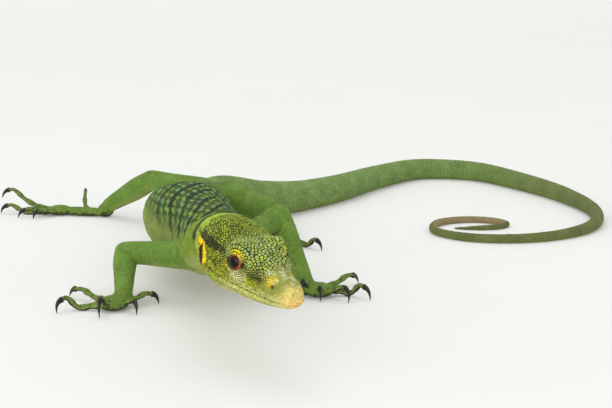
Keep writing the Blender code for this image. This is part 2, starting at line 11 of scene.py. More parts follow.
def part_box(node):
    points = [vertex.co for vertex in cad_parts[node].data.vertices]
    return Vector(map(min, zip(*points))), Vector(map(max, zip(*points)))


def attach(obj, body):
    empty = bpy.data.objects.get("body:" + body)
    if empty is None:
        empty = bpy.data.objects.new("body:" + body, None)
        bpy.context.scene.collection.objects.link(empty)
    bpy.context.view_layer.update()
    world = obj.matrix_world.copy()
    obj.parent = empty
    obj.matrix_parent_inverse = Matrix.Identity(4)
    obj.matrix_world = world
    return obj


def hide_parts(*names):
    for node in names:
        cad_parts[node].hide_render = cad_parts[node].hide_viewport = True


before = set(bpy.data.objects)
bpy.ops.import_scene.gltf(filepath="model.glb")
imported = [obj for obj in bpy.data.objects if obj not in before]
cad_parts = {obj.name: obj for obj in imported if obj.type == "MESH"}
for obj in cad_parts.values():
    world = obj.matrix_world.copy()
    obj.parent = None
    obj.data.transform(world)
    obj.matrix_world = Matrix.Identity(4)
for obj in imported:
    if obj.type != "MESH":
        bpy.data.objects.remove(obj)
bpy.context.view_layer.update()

# Lengths in the tables are millimetres, and MM turns them into metres where a piece is finished
MM = 0.001

# The head: where its snout is, and how it is turned and lowered
SNOUT = np.array([2.2, -167.1, 27.5])
HEAD_TURN = math.radians(26.5)
HEAD_DROP = math.radians(9)
NECK_AT = 48.0
EYE_RADIUS = 3.1
CORNEA_RISE, CORNEA_WIDE = 0.05, 0.5  # its height against that radius, and its reach in radians
EYE_BACK, EYE_OUT, EYE_UP = 26.0, 6.0, 2.2
LOOK_AHEAD, LOOK_UP = 0.48, 0.16  # against one sideways
OPENING = 48.0  # half the angle that the lids leave open, in degrees
OPENING_LONG = 1.12  # how much longer than high that opening is
LID_EDGE = 0.34  # how far the lids stand out of the eye
LID_SPREAD = 26.0  # how many degrees past the opening the lids run out into the head
EAR_BACK, EAR_OUT, EAR_UP = 42.0, 11.5, -0.6
EAR_LOW = 0.5  # how far below that place the middle of its hollow lies
EAR_LONG, EAR_HIGH = 1.2, 2.7  # half sizes of the hollow
EAR_RIM_LONG, EAR_RIM_HIGH = 1.25, 2.5  # and those of the border that its scales follow
NOSTRIL_BACK, NOSTRIL_UP = 8.3, 1.0
NOSTRIL_LONG, NOSTRIL_HIGH = 0.95, 0.62
MOUTH_CORNER = 36.5
FAR_SHARE = 9.0  # stands for a point that is nowhere near an ear or a nostril
BROW = (26.0, 7.2, 6.4)  # the middle of the swelling over each eye, back, out and up
# The line of the mouth, as distances behind the snout and up from the head's axis
MOUTH_LINE = (
    (-3.0, -1.6),
    (2.0, -1.9),
    (8.0, -3.0),
    (15.0, -3.6),
    (24.0, -3.9),
    (31.0, -4.2),
    (35.5, -5.4),
)
# The head's cross-sections: distance behind the snout, half width, height above and depth below the axis,
# squareness, and how much narrower the top is than the widest level
HEAD_SECTIONS = (
    (0.0, 1.2, 1.1, 1.2, 2.0, 0.00),
    (0.6, 2.0, 1.9, 2.1, 2.1, 0.02),
    (1.8, 2.8, 2.8, 3.0, 2.2, 0.05),
    (4.0, 3.6, 3.6, 4.2, 2.4, 0.12),
    (8.0, 4.5, 4.3, 5.5, 2.5, 0.20),
    (13.0, 5.5, 4.9, 6.9, 2.6, 0.26),
    (18.0, 6.7, 5.8, 8.0, 2.6, 0.26),
    (22.0, 7.7, 6.8, 8.8, 2.5, 0.22),
    (27.0, 8.9, 7.4, 9.7, 2.4, 0.20),
    (32.0, 10.0, 7.6, 10.6, 2.3, 0.22),
    (37.0, 11.0, 7.9, 12.0, 2.2, 0.22),
    (42.0, 11.2, 8.3, 12.0, 2.2, 0.20),
    (46.0, 10.0, 8.3, 10.8, 2.2, 0.14),
)
# Swellings and hollows of the head: distance back, out and up, how far each reaches, and its height
HEAD_BULGES = (
    (24.0, 7.2, 6.0, 4.4, 2.20),
    (18.6, 6.6, 3.8, 3.8, 1.05),
    (29.5, 6.8, 6.2, 3.6, 0.45),
    (16.0, 6.6, 0.4, 3.4, -0.45),
    (38.0, 9.0, 3.5, 4.5, 0.60),
    (4.5, 3.2, 2.8, 2.4, 0.35),
)

# The rest of the trunk: place of the centre, half width, height above, depth below, squareness, narrowing
TRUNK_SECTIONS = (
    (-21.8, -117.5, 33.6, 8.9, 7.8, 7.8, 2.1, 0.06),
    (-25.1, -102.0, 29.4, 8.5, 7.2, 7.6, 2.1, 0.0),
    (-26.2, -86.0, 24.4, 9.2, 8.0, 7.4, 2.1, 0.0),
    (-26.2, -69.0, 20.6, 12.8, 10.2, 10.2, 2.1, 0.0),
    (-29.4, -50.0, 19.2, 14.4, 11.4, 11.8, 2.1, 0.0),
    (-36.6, -26.0, 18.2, 16.0, 11.6, 12.2, 2.1, 0.0),
    (-40.3, -2.0, 17.8, 16.6, 11.6, 12.4, 2.1, 0.0),
    (-43.0, 18.0, 16.0, 13.8, 9.8, 11.0, 2.1, 0.0),
    (-40.4, 35.0, 13.6, 9.9, 8.2, 9.0, 2.1, 0.0),
    (-30.6, 53.0, 13.0, 8.8, 9.0, 8.6, 2.0, 0.0),
    (-15.0, 71.0, 9.4, 8.0, 7.2, 8.1, 2.0, 0.0),
    (0.5, 88.0, 7.0, 6.8, 6.3, 7.1, 2.0, 0.0),
    (18.0, 109.4, 6.1, 6.1, 5.9, 6.3, 2.0, 0.0),
    (37.4, 141.4, 5.3, 5.5, 5.4, 5.4, 2.0, 0.0),
    (59.2, 165.4, 4.8, 5.0, 4.9, 4.9, 2.0, 0.0),
    (84.6, 162.2, 4.4, 4.6, 4.6, 4.5, 2.0, 0.0),
    (105.0, 136.4, 3.9, 4.1, 4.2, 4.0, 2.0, 0.0),
    (120.4, 105.4, 3.4, 3.6, 3.7, 3.5, 2.0, 0.0),
    (127.6, 74.0, 2.7, 2.9, 2.9, 2.8, 2.0, 0.0),
    (121.8, 47.6, 2.3, 2.5, 2.5, 2.4, 2.0, 0.0),
    (107.0, 32.0, 1.95, 2.1, 2.1, 2.05, 2.0, 0.0),
    (88.0, 25.2, 1.75, 1.9, 1.9, 1.85, 2.0, 0.0),
    (69.0, 28.0, 1.65, 1.8, 1.8, 1.75, 2.0, 0.0),
    (57.0, 40.6, 1.5, 1.65, 1.65, 1.6, 2.0, 0.0),
    (59.5, 57.0, 1.4, 1.55, 1.55, 1.5, 2.0, 0.0),
    (72.0, 63.8, 1.35, 1.45, 1.45, 1.45, 2.0, 0.0),
    (83.0, 61.2, 1.3, 1.4, 1.4, 1.4, 2.0, 0.0),
    (87.8, 55.4, 1.2, 1.3, 1.3, 1.3, 2.0, 0.0),
    (83.4, 50.4, 1.15, 1.25, 1.25, 1.25, 2.0, 0.0),
    (74.5, 49.0, 0.9, 1.0, 1.0, 1.0, 2.0, 0.0),
    (65.5, 50.6, 0.4, 0.45, 0.45, 0.45, 2.0, 0.0),
)
VENT = 224.0  # where the tail starts, along the trunk from the snout
COIL = 560.0  # where its coil starts

# The two long segments of each limb, the upper one first: name, root, far joint, and radii from root to end
LIMBS = (
    ("upper_arm_right", (-30.4, -75.0, 18.4), (-58.2, -52.6, 14.4), (5.2, 4.8, 4.2, 3.7)),
    ("forearm_right", (-58.2, -52.6, 14.4), (-56.7, -71.4, 5.4), (3.7, 4.0, 3.5, 3.1)),
    ("upper_arm_left", (-20.5, -68.0, 19.0), (-4.9, -46.5, 26.4), (5.6, 4.7, 4.0, 3.7)),
    ("forearm_left", (-4.9, -46.5, 26.4), (3.5, -56.0, 5.4), (3.9, 4.0, 3.5, 3.3)),
    ("thigh_right", (-36.5, 47.0, 15.0), (-60.0, 62.0, 18.6), (7.2, 6.2, 5.0, 4.2)),
    ("shank_right", (-60.0, 62.0, 18.6), (-79.8, 77.0, 5.0), (4.2, 4.6, 3.9, 3.1)),
    ("thigh_left", (-27.5, 44.0, 14.0), (-8.9, 17.0, 14.6), (7.2, 6.8, 5.4, 4.2)),
    ("shank_left", (-8.9, 17.0, 14.6), (-12.5, 42.0, 5.0), (4.2, 4.6, 3.9, 3.1)),
)
ROUND_END = (0.45, 0.8, 0.98)  # where a limb segment's round end is measured, as shares of its radius
UPRIGHT = 0.8  # a segment steeper than this has its sections turned from +X and not from +Z

# Hands and feet: the eggs of each sole (centre, half length, half width, half height, turn in degrees),
# then each digit's points, the last of which is its claw's tip
SOLES = {
    "hand_right": (
        (-57.0, -72.2, 3.6, 3.3, 3.3, 3.5, 0),
        (-59.6, -75.6, 2.4, 5.4, 4.6, 2.6, 205),
    ),
    "hand_left": (
        (4.4, -57.0, 3.6, 3.4, 3.3, 3.5, 0),
        (8.8, -58.0, 2.4, 5.4, 4.6, 2.6, -20),
    ),
    "foot_right": (
        (-81.4, 76.4, 2.9, 3.4, 3.0, 3.2, 0),
        (-91.4, 78.8, 1.8, 14.0, 3.4, 1.9, 168),
        (-101.6, 80.6, 2.0, 5.4, 4.5, 2.2, 168),
    ),
    "foot_left": (
        (-12.4, 40.0, 2.9, 3.4, 3.0, 3.2, 0),
        (-8.2, 31.6, 1.8, 12.0, 3.4, 1.9, -63),
        (-4.2, 23.4, 2.0, 5.4, 4.5, 2.2, -63),
    ),
}
DIGITS = {
    "hand_right": (
        (
            (-57.7, -73.6, 2.3), (-53.1, -72.2, 2.8), (-49.7, -69.8, 4.1), (-47.2, -68.6, 3.6),
            (-45.4, -68.4, 0.0),
        ),
        (
            (-58.1, -75.6, 2.5), (-54.9, -78.0, 3.3), (-52.7, -79.8, 4.6), (-52.0, -80.9, 4.1),
            (-51.4, -82.4, 0.0),
        ),
        (
            (-59.9, -76.4, 2.5), (-61.9, -80.4, 3.7), (-62.7, -83.6, 6.3), (-62.9, -85.2, 5.9),
            (-62.8, -87.4, 0.0),
        ),
        (
            (-60.5, -76.2, 2.3), (-66.3, -76.6, 1.7), (-71.4, -76.4, 1.1), (-74.9, -77.8, 4.7),
            (-76.6, -79.0, 4.3), (-77.8, -80.8, 0.0),
        ),
        (
            (-59.5, -74.0, 2.3), (-66.1, -68.8, 2.2), (-71.7, -63.2, 3.8), (-74.9, -60.0, 3.2),
            (-77.0, -58.2, 0.0),
        ),
    ),
    "hand_left": (
        (
            (6.5, -57.6, 2.6), (4.9, -59.4, 4.0), (3.7, -60.8, 6.3), (3.3, -61.8, 6.1),
            (3.2, -63.4, 2.6),
        ),
        (
            (7.7, -58.4, 2.4), (8.7, -61.0, 3.0), (9.1, -62.8, 4.5), (9.2, -64.0, 4.2),
            (9.4, -65.8, 0.0),
        ),
        (
            (9.9, -58.4, 2.4), (13.7, -61.6, 3.0), (16.9, -64.4, 5.0), (17.9, -65.6, 4.7),
            (18.7, -67.6, 0.0),
        ),
        (
            (10.5, -57.8, 2.4), (15.3, -57.4, 1.9), (19.7, -58.2, 1.3), (22.9, -60.4, 4.6),
            (24.5, -61.8, 4.2), (26.3, -63.8, 0.0),
        ),
        (
            (9.3, -56.4, 2.4), (14.7, -50.6, 2.7), (18.9, -45.2, 4.2), (21.2, -42.2, 3.6),
            (23.1, -40.0, 0.0),
        ),
    ),
    "foot_right": (
        (
            (-101.6, 79.2, 1.9), (-105.2, 75.8, 2.4), (-108.2, 73.0, 3.5), (-110.0, 71.6, 3.1),
            (-111.5, 70.4, 0.0),
        ),
        (
            (-103.6, 79.8, 1.9), (-109.0, 77.4, 1.9), (-113.6, 75.4, 3.7), (-116.0, 74.2, 3.3),
            (-118.4, 73.2, 0.0),
        ),
        (
            (-105.0, 80.4, 1.7), (-110.6, 80.8, 1.4), (-116.6, 81.0, 1.0), (-122.6, 81.8, 4.0),
            (-124.8, 82.2, 3.6), (-127.6, 82.9, 0.0),
        ),
        (
            (-104.8, 81.2, 2.0), (-111.0, 84.6, 2.6), (-117.4, 87.6, 5.2), (-123.0, 89.8, 9.2),
            (-125.4, 90.6, 8.9), (-128.4, 91.4, 5.0),
        ),
        (
            (-88.2, 78.8, 2.2), (-91.0, 85.4, 2.2), (-92.4, 92.0, 4.4), (-92.8, 97.4, 7.2),
            (-92.9, 102.0, 5.2),
        ),
    ),
    "foot_left": (
        (
            (-5.1, 24.4, 2.1), (-8.3, 21.2, 2.4), (-10.3, 18.2, 3.5), (-11.1, 16.2, 3.1),
            (-11.5, 14.2, 0.0),
        ),
        (
            (-4.5, 23.4, 2.1), (-5.3, 18.4, 2.2), (-5.7, 14.2, 3.9), (-5.8, 12.0, 3.5),
            (-5.7, 9.4, 0.0),
        ),
        (
            (-3.5, 22.6, 1.9), (-2.1, 17.6, 1.7), (-0.9, 13.0, 2.3), (-0.1, 9.6, 3.9),
            (0.3, 7.8, 3.5), (0.7, 5.4, 0.0),
        ),
        (
            (-3.3, 22.0, 1.9), (1.3, 19.8, 1.9), (4.9, 16.6, 1.2), (7.7, 13.8, 4.0),
            (8.9, 12.6, 3.7), (10.5, 10.8, 0.0),
        ),
        (
            (-10.1, 35.0, 2.3), (-5.5, 36.8, 2.3), (-2.1, 40.4, 3.9), (-0.9, 42.6, 3.5),
            (0.1, 45.0, 0.0),
        ),
    ),
}
DIGIT_RADII = (1.5, 1.1, 0.98, 0.88)  # from its root to its claw
KNUCKLE_RISE, KNUCKLE_LONG = 0.3, 0.07  # how thick a knuckle is, and its length against the digit's
DIGIT_SLIM = 0.1  # how much is taken off between the knuckles

# A claw: its radius at the root and at its tip, how it tapers, how high it arches before it comes down, its
# width against its height, and how far it starts inside its digit
CLAW_RADIUS, CLAW_TIP = 1.0, 0.1
CLAW_TAPER = 0.8
CLAW_CROWN = 0.55
CLAW_SLIM = 0.72
CLAW_ROOT = 0.5
CLAW_SIDES, CLAW_RINGS = 12, 20

# The skin: how deep it lies below the coat, the fineness of its remesh, how many triangles it keeps before
# the small forms of the head are added, and how often it is smoothed all over and at the joints
COAT_DEPTH = 0.12
VOXEL = 0.36
SKIN_TRIANGLES = 110_000
EVEN_STEPS, SOFTEN_STEPS = 3, 60

# How far round each place the skin is smoothed: at a limb's root, which lies ROOT_IN along its upper
# segment, at its middle joint, at its wrist or ankle, and at each digit's root
ROOT_IN, ROOT_REACH = 9.0, 7.0
JOINT_REACH, WRIST_REACH, DIGIT_REACH = 4.2, 3.6, 1.8

# Where the scales stand: the closest that two may come, against their spacing, in rows and in open skin;
# how far from a scale the skin counts as open; and how many tries are made for each scale that would fit
ROW_REACH, OPEN_REACH = 0.74, 0.8
OPEN_GAP = 0.62
TRIES = 16
# How much longer than wide the rows' steps are on body and tail
BODY_STRETCH, TAIL_STRETCH = 0.88, 1.25
# The rows along the mouth (height over its line, length of a scale), round each eye (degrees past the
# opening, number of scales) and round each ear (reach against its hollow, number of scales)
LIP_ROWS = ((0.62, 0.92), (1.42, 0.86), (-0.62, 0.9), (-1.4, 0.86))
LID_ROWS = ((2.5, 34), (10.0, 32), (18.5, 30), (28.0, 28))
EAR_ROWS = ((1.25, 20), (1.65, 22))
SMALLEST = 0.5  # the most that the scales of these rows are apart
# How far apart the trunk's scales are, behind the head: places along it, then the spacing at each
BODY_SPACING = (48, 62, 110, 200, 300, 430, 560, 690), (0.7, 0.92, 1.14, 1.2, 1.14, 0.96, 0.74, 0.5)

# The coat's scales: their sides, how far the root is sunk, the gap to the next one, the height against the
# width, the ridge on those of the tail, and how light a scale is at its root, where 0 is the darkest.
# A profile's rings are shares of the reach and of the height, and -1 stands for the sunk root.
BODY_SIDES, HEAD_SIDES = 8, 12
BODY_PROFILE, HEAD_PROFILE = ((1.0, -1), (0.84, 0.7)), ((1.0, -1), (0.95, 0.75), (0.72, 1.0))
BODY_ROUNDING, HEAD_ROUNDING = 0.5, 0.05
ROOT_DEPTH = 0.12
BODY_GAP, CROWN_GAP = 0.08, 0.3
BODY_RISE, HEAD_RISE, LEAST_HEAD_RISE = 0.13, 0.17, 0.12
TAIL_KEEL = 0.05
BODY_SHADE, HEAD_SHADE = 0.4, 0.0
NEIGHBOURS = 12  # how many scales round it a scale may meet
MOST_REACH, LEAST_REACH = 0.78, 0.12  # how far it reaches: at most, against its spacing, and at least
LOWEST_SKIN, LOWEST_SCALE = 0.08, 0.03  # how close skin, scales and claws come to the floor
BAKE_PATCH = 0.0015  # half the width of a scale's patch in its map for baking

# The body's markings: how far apart the bands are, how much they slant forward down the flanks for each
# degree, the angle about which they are alike on both sides, one band's place on the middle of the back, the
# length and width of a light spot with its border, and the place of the black line of painted shade in the
# fold behind the head
BAND_PITCH, BAND_SLANT, BAND_TOP = 16.5, 0.6, 62.0
BAND_AT = 132.0
SPOT_LONG, SPOT_WIDE = BAND_PITCH / 2, 2.5
FOLD_SHADE_AT = 53.2
TAIL_BAND_PITCH = 15.0
CREASE_PITCH = 3.4  # from one dark crease of a digit to the next

# The pieces of the trunk's coat, each on both sides, and where each starts
TRUNK_PIECES = (
    ("coat_head", -1.0),
    ("coat_face", 24.0),
    ("coat_nape", 36.0),
    ("coat_neck", NECK_AT),
    ("coat_body", 112.0),
    ("coat_hips", 170.0),
    ("coat_tail", VENT),
    ("coat_tail_end", 330.0),
)

# The studio: where its floor starts to curve up and how wide that curve is, in metres, then the camera
SWEEP_FROM, SWEEP_RADIUS = 0.9, 0.9
CAMERA_PLACE = (4.4, -579.9, 137.2)
CAMERA_DROP = math.radians(11.35)
LENS, SENSOR = 92.03, 36.0

SEED = 11

# What the columns of facts about a point hold: first its place, then the form it belongs to, that form's
# kind, how far along the form it lies, the angle around it, and the direction in which scales lie
FORM_NUMBER, KIND, ALONG, AROUND = 3, 4, 5, 6
LIE = slice(7, 10)
COLUMNS = 10
TRUNK_KIND, LIMB_KIND, DIGIT_KIND, SOLE_KIND = range(4)


def unit(vector):
    """The same direction at length 1."""
    return vector / np.linalg.norm(vector)


def head_axes():
    """The head's directions: backward along its axis, to its left, and up."""
    left = np.array([math.cos(HEAD_TURN), math.sin(HEAD_TURN), 0.0])
    level = np.array([-math.sin(HEAD_TURN), math.cos(HEAD_TURN), 0.0])
    back = level * math.cos(HEAD_DROP) + np.array([0.0, 0.0, math.sin(HEAD_DROP)])
    return back, left, np.cross(left, back)


def head_place(back, out, up):
    """A point given as distances behind the snout, to the left and up."""
    along, left, upward = head_axes()
    return SNOUT + along * back + left * out + upward * up


def in_head(points):
    """The points' distances behind the snout, to the left and up."""
    return (points - SNOUT) @ np.array(head_axes()).T


EYE_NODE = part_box("eye_right")
SHIFT = np.array(EYE_NODE[0] + EYE_NODE[1]) / 2 / MM - head_place(EYE_BACK, -EYE_OUT, EYE_UP)


class Track:
    """A smooth curve through rows of numbers whose first three are a place, read at distances along it."""

    FINE = 24  # steps between two of the rows

    def __init__(self, rows):
        rows = np.array(rows, float)
        steps = np.sqrt(np.linalg.norm(np.diff(rows[:, :3], axis=0), axis=1))
        at = np.concatenate([[0.0], np.cumsum(steps)])
        slopes = np.gradient(rows, at, axis=0)
        pieces = []
        for i in range(len(rows) - 1):
            width = at[i + 1] - at[i]
            last = i == len(rows) - 2
            t = np.linspace(0.0, 1.0, self.FINE + 1)[: None if last else -1, None]
            pieces.append(
                rows[i] * (2 * t**3 - 3 * t**2 + 1)
                + slopes[i] * width * (t**3 - 2 * t**2 + t)
                + rows[i + 1] * (3 * t**2 - 2 * t**3)
                + slopes[i + 1] * width * (t**3 - t**2)
            )
        self.rows = np.concatenate(pieces)
        lengths = np.linalg.norm(np.diff(self.rows[:, :3], axis=0), axis=1)
        self.along = np.concatenate([[0.0], np.cumsum(lengths)])
        self.length = self.along[-1]

    def read(self, distances):
        """The rows at the distances."""
        return np.array([np.interp(distances, self.along, column) for column in self.rows.T]).T

    def tangents(self, distances):
        """The track's directions at the distances."""
        step = self.length / 2000
        ahead = self.read(np.minimum(np.array(distances) + step, self.length))[:, :3]
        behind = self.read(np.maximum(np.array(distances) - step, 0.0))[:, :3]
        return (ahead - behind) / np.linalg.norm(ahead - behind, axis=1)[:, None]


def section(row, angles, grow):
    """One cross-section, as distances sideways and up. The angles start at the left and go over the top."""
    half_width, top, bottom = row[3:6] + grow
    square, narrow = row[6:8]
    c, s = np.cos(angles), np.sin(angles)
    up = np.sign(s) * np.abs(s) ** (2 / square)
    out = half_width * np.sign(c) * np.abs(c) ** (2 / square) * (1 - narrow * np.clip(up, 0, 1))
    return out, np.where(up > 0, up * top, up * bottom)


def ring(row, tangent, angles, upward, bulges, grow=0.0):
    """One cross-section's points, set square to the track."""
    up = unit(upward - tangent * np.dot(upward, tangent))
    left = np.cross(tangent, up)
    out, height = section(row, angles, grow)
    points = row[:3] + np.outer(out, left) + np.outer(height, up)
    for centre, reach, push in bulges:
        near = np.exp(-((np.linalg.norm(points - centre, axis=1) / reach) ** 2))
        outward = points - row[:3]
        outward /= np.linalg.norm(outward, axis=1)[:, None]
        points = points + outward * (near * push)[:, None]
    return points


class Form:
    """One plain length of the body round a track: the trunk, a limb's segment or a digit."""

    def __init__(self, name, kind, track, sides, step, upward=(0, 0, 1), bulges=(), swell=None):
        self.name, self.kind, self.track, self.sides = name, kind, track, sides
        self.upward, self.bulges, self.swell = np.array(upward, float), bulges, swell
        self.distances = np.linspace(0, track.length, max(8, round(track.length / step)))

    def rings_at(self, distances, angle_sets, grow=0.0):
        """The cross-sections at the distances, each with points at its own angles."""
        rows = self.track.read(distances)
        if self.swell is not None:
            rows[:, 3:6] += self.swell(distances / self.track.length)[:, None]
        found = []
        for row, tangent, angles in zip(rows, self.track.tangents(distances), angle_sets):
            found.append(ring(row, tangent, angles, self.upward, self.bulges, grow))
        return found

    def rings(self, grow):
        """The form's own cross-sections, grown by a thickness."""
        angles = np.arange(self.sides) * 2 * math.pi / self.sides
        return self.rings_at(self.distances, [angles] * len(self.distances), grow)


def head_bulges():
    """The head's swellings on both sides: place, reach and height of each."""
    found = []
    for back, out, up, reach, push in HEAD_BULGES:
        for side in (-1, 1):
            found.append((head_place(back, side * out, up), reach, push))
    return found


def trunk_form():
    """The whole trunk, from the snout to the tail's tip, with finer rings on the head."""
    head = [(*head_place(back, 0, 0), *sizes) for back, *sizes in HEAD_SECTIONS]
    made = Form("trunk", TRUNK_KIND, Track(head + list(TRUNK_SECTIONS)), 72, 0.9, bulges=head_bulges())
    fine = NECK_AT * np.linspace(0, 1, 90) ** 1.3
    made.distances = np.concatenate([fine, made.distances[made.distances > NECK_AT + 0.5]])
    return made


def limb_form(name, root, far, radii):
    """A straight limb segment that is rounded off past its far joint, with a muscle's swelling."""
    root, far = np.array(root), np.array(far)
    ahead = unit(far - root)
    rows = []
    for share, radius in zip(np.linspace(0, 1, len(radii)), radii):
        rows.append((*(root + (far - root) * share), radius, radius, radius, 2.0, 0.0))
    for share in ROUND_END:
        radius = radii[-1] * math.sqrt(1 - share * share)
        rows.append((*(far + ahead * radii[-1] * share), radius, radius, radius, 2.0, 0.0))
    upward = (0, 0, 1) if abs(ahead[2]) < UPRIGHT else (1, 0, 0)
    return Form(name, LIMB_KIND, Track(rows), 40, 0.6, upward)


def digit_track(points):
    """A finger's or toe's track, with its radii spread evenly over the points."""
    shares = np.linspace(0, 1, len(points))
    radii = np.interp(shares, np.linspace(0, 1, len(DIGIT_RADII)), DIGIT_RADII)
    return Track([(*point, radius, radius, radius, 2.0, 0.0) for point, radius in zip(points, radii)])


def digit_form(name, points):
    """A finger or toe, a little thicker at each of its joints and at its end."""
    joints = np.linspace(0, 1, len(points))[1:-1]

    def knuckles(shares):
        """How much thicker the digit is at shares of its length."""
        swell = np.zeros(len(shares))
        for joint in joints:
            swell += KNUCKLE_RISE * np.exp(-(((shares - joint) / KNUCKLE_LONG) ** 2))
        return swell - DIGIT_SLIM

    return Form(name, DIGIT_KIND, digit_track(points), 24, 0.3, swell=knuckles)


def mesh_from(bm, name):
    """The bmesh as a mesh of its own."""
    mesh = bpy.data.meshes.new(name)
    bm.to_mesh(mesh)
    bm.free()
    return mesh


def loft_mesh(rings):
    """A closed tube over the rings, made from a grid that is rolled up and closed at both ends."""
    sides, steps = len(rings[0]), len(rings) - 1
    bm = bmesh.new()
    bmesh.ops.create_grid(bm, x_segments=sides, y_segments=steps, size=1.0)
    for vert in bm.verts:
        around = round((vert.co.x + 1) / 2 * sides) % sides
        along = round((vert.co.y + 1) / 2 * steps)
        vert.co = rings[along][around]
    bmesh.ops.remove_doubles(bm, verts=bm.verts, dist=1e-4)
    bmesh.ops.holes_fill(bm, edges=[e for e in bm.edges if e.is_boundary])
    bmesh.ops.recalc_face_normals(bm, faces=bm.faces)
    return mesh_from(bm, "loft")


def egg_mesh(centre, sizes, turn):
    """A sole's egg, turned about the vertical."""
    bm = bmesh.new()
    bmesh.ops.create_uvsphere(bm, u_segments=48, v_segments=32, radius=1.0)
    turned = Matrix.Translation(centre) @ Matrix.Rotation(math.radians(turn), 4, "Z")
    bmesh.ops.transform(bm, matrix=turned @ Matrix.Diagonal((*sizes, 1)), verts=bm.verts)
    return mesh_from(bm, "egg")


def coordinates(mesh):
    """The places of a mesh's vertices as an array."""
    flat = np.zeros(len(mesh.vertices) * 3)
    mesh.vertices.foreach_get("co", flat)
    return flat.reshape(-1, 3)


def put_in_place(mesh, places=None):
    """Moves a finished mesh from the tables' millimetres to its place in metres, and shades it smooth."""
    if places is None:
        places = coordinates(mesh)
    mesh.vertices.foreach_set("co", ((places + SHIFT) * MM).ravel())
    mesh.shade_smooth()
    mesh.update()


def add_numbers(mesh, name, values):
    """An attribute with a number for each vertex."""
    mesh.attributes.new(name, "FLOAT", "POINT").data.foreach_set("value", values.ravel())


def add_colours(mesh, colours):
    """The markings' attribute, with a colour for each vertex."""
    rgba = np.ones((len(colours), 4))
    rgba[:, :3] = colours
    mesh.attributes.new("Markings", "FLOAT_COLOR", "POINT").data.foreach_set("color", rgba.ravel())


def normals_of(mesh):
    """The smooth normals of a mesh's vertices as an array."""
    flat = np.zeros(len(mesh.vertices) * 3)
    mesh.vertex_normals.foreach_get("vector", flat)
    return flat.reshape(-1, 3)


def nearest_index(tree, points):
    """The index of each point's nearest neighbour in a tree."""
    return np.array([tree.find(point)[1] for point in points.tolist()])


def tree_of(points):
    """A search tree of the points."""
    tree = KDTree(len(points))
    for i, point in enumerate(points.tolist()):
        tree.insert(point, i)
    tree.balance()
    return tree


def ramp(x, low, high):
    """0 below low, 1 above high, and smooth in between. High may be the lower one."""
    t = np.clip((x - low) / (high - low), 0, 1)
    return t * t * (3 - 2 * t)


def hump(x, centre, reach):
    """A smooth hump of height 1."""
    return np.exp(-(((x - centre) / reach) ** 2))


FORMS = [trunk_form()]
FORMS += [limb_form(*row) for row in LIMBS]
for sole, digits in DIGITS.items():
    FORMS += [digit_form(f"{sole}_{n}", points[:-1]) for n, points in enumerate(digits, 1)]
TRUNK = FORMS[0]


def plain_cloud():
    """Points all over the plain forms: place, which form, kind, distance along, angle around, and lie."""
    columns = []
    for number, form in enumerate(FORMS):
        angles = np.arange(form.sides) * 2 * math.pi / form.sides
        rings = form.rings(-COAT_DEPTH)
        tangents = form.track.tangents(form.distances)
        for points, along, tangent in zip(rings, form.distances, tangents):
            count = len(points)
            facts = np.column_stack([np.tile((number, form.kind, along), (count, 1)), angles])
            columns.append(np.column_stack([points, facts, np.tile(tangent, (count, 1))]))
    for number, eggs in enumerate(SOLES.values(), len(FORMS)):
        for x, y, z, length, width, height, turn in eggs:
            places = coordinates(egg_mesh((x, y, z), (length, width, height), turn))
            count = len(places)
            ahead = np.array((math.cos(math.radians(turn)), math.sin(math.radians(turn)), 0))
            offsets = places - np.array((x, y, z))
            along = offsets @ ahead + length
            around = np.arctan2(offsets[:, 2], offsets @ np.array((-ahead[1], ahead[0], 0))) % (2 * math.pi)
            facts = np.column_stack([np.tile((number, SOLE_KIND), (count, 1)), along, around])
            columns.append(np.column_stack([places, facts, np.tile(ahead, (count, 1))]))
    return np.concatenate(columns)


CLOUD = plain_cloud()
CLOUD_TREE = tree_of(CLOUD[:, :3])


def facts_at(points):
    """The cloud's columns at the points, evened over the nearest four of one form."""
    found = np.array([[hit[1] for hit in CLOUD_TREE.find_n(point, 4)] for point in points.tolist()])
    near = CLOUD[found]
    weights = 1 / (((near[:, :, :3] - points[:, None]) ** 2).sum(axis=2) + 0.01)
    weights *= near[:, :, FORM_NUMBER] == near[:, :1, FORM_NUMBER]
    weights /= weights.sum(axis=1)[:, None]
    facts = near[:, 0].copy()
    facts[:, :3] = points
    facts[:, ALONG] = (near[:, :, ALONG] * weights).sum(axis=1)
    turn = near[:, :, AROUND]
    sine, cosine = (np.sin(turn) * weights).sum(axis=1), (np.cos(turn) * weights).sum(axis=1)
    facts[:, AROUND] = np.arctan2(sine, cosine) % (2 * math.pi)
    return facts


def linked(name, mesh):
    """An object of the mesh, linked to the scene."""
    made = bpy.data.objects.new(name, mesh)
    bpy.context.scene.collection.objects.link(made)
    return made


def apply_modifiers(made):
    """Replaces the object's mesh by what its modifiers make of it."""
    bpy.context.view_layer.update()
    graph = bpy.context.evaluated_depsgraph_get()
    mesh = bpy.data.meshes.new_from_object(made.evaluated_get(graph))
    made.modifiers.clear()
    made.data = mesh


def weigh(made, name, weights):
    """A vertex group with the weights, rounded to sixteenths."""
    group = made.vertex_groups.new(name=name)
    steps = np.round(weights * 16).astype(int)
    for step in range(1, 17):
        members = np.nonzero(steps == step)[0]
        if len(members):
            group.add(members.tolist(), step / 16, "REPLACE")


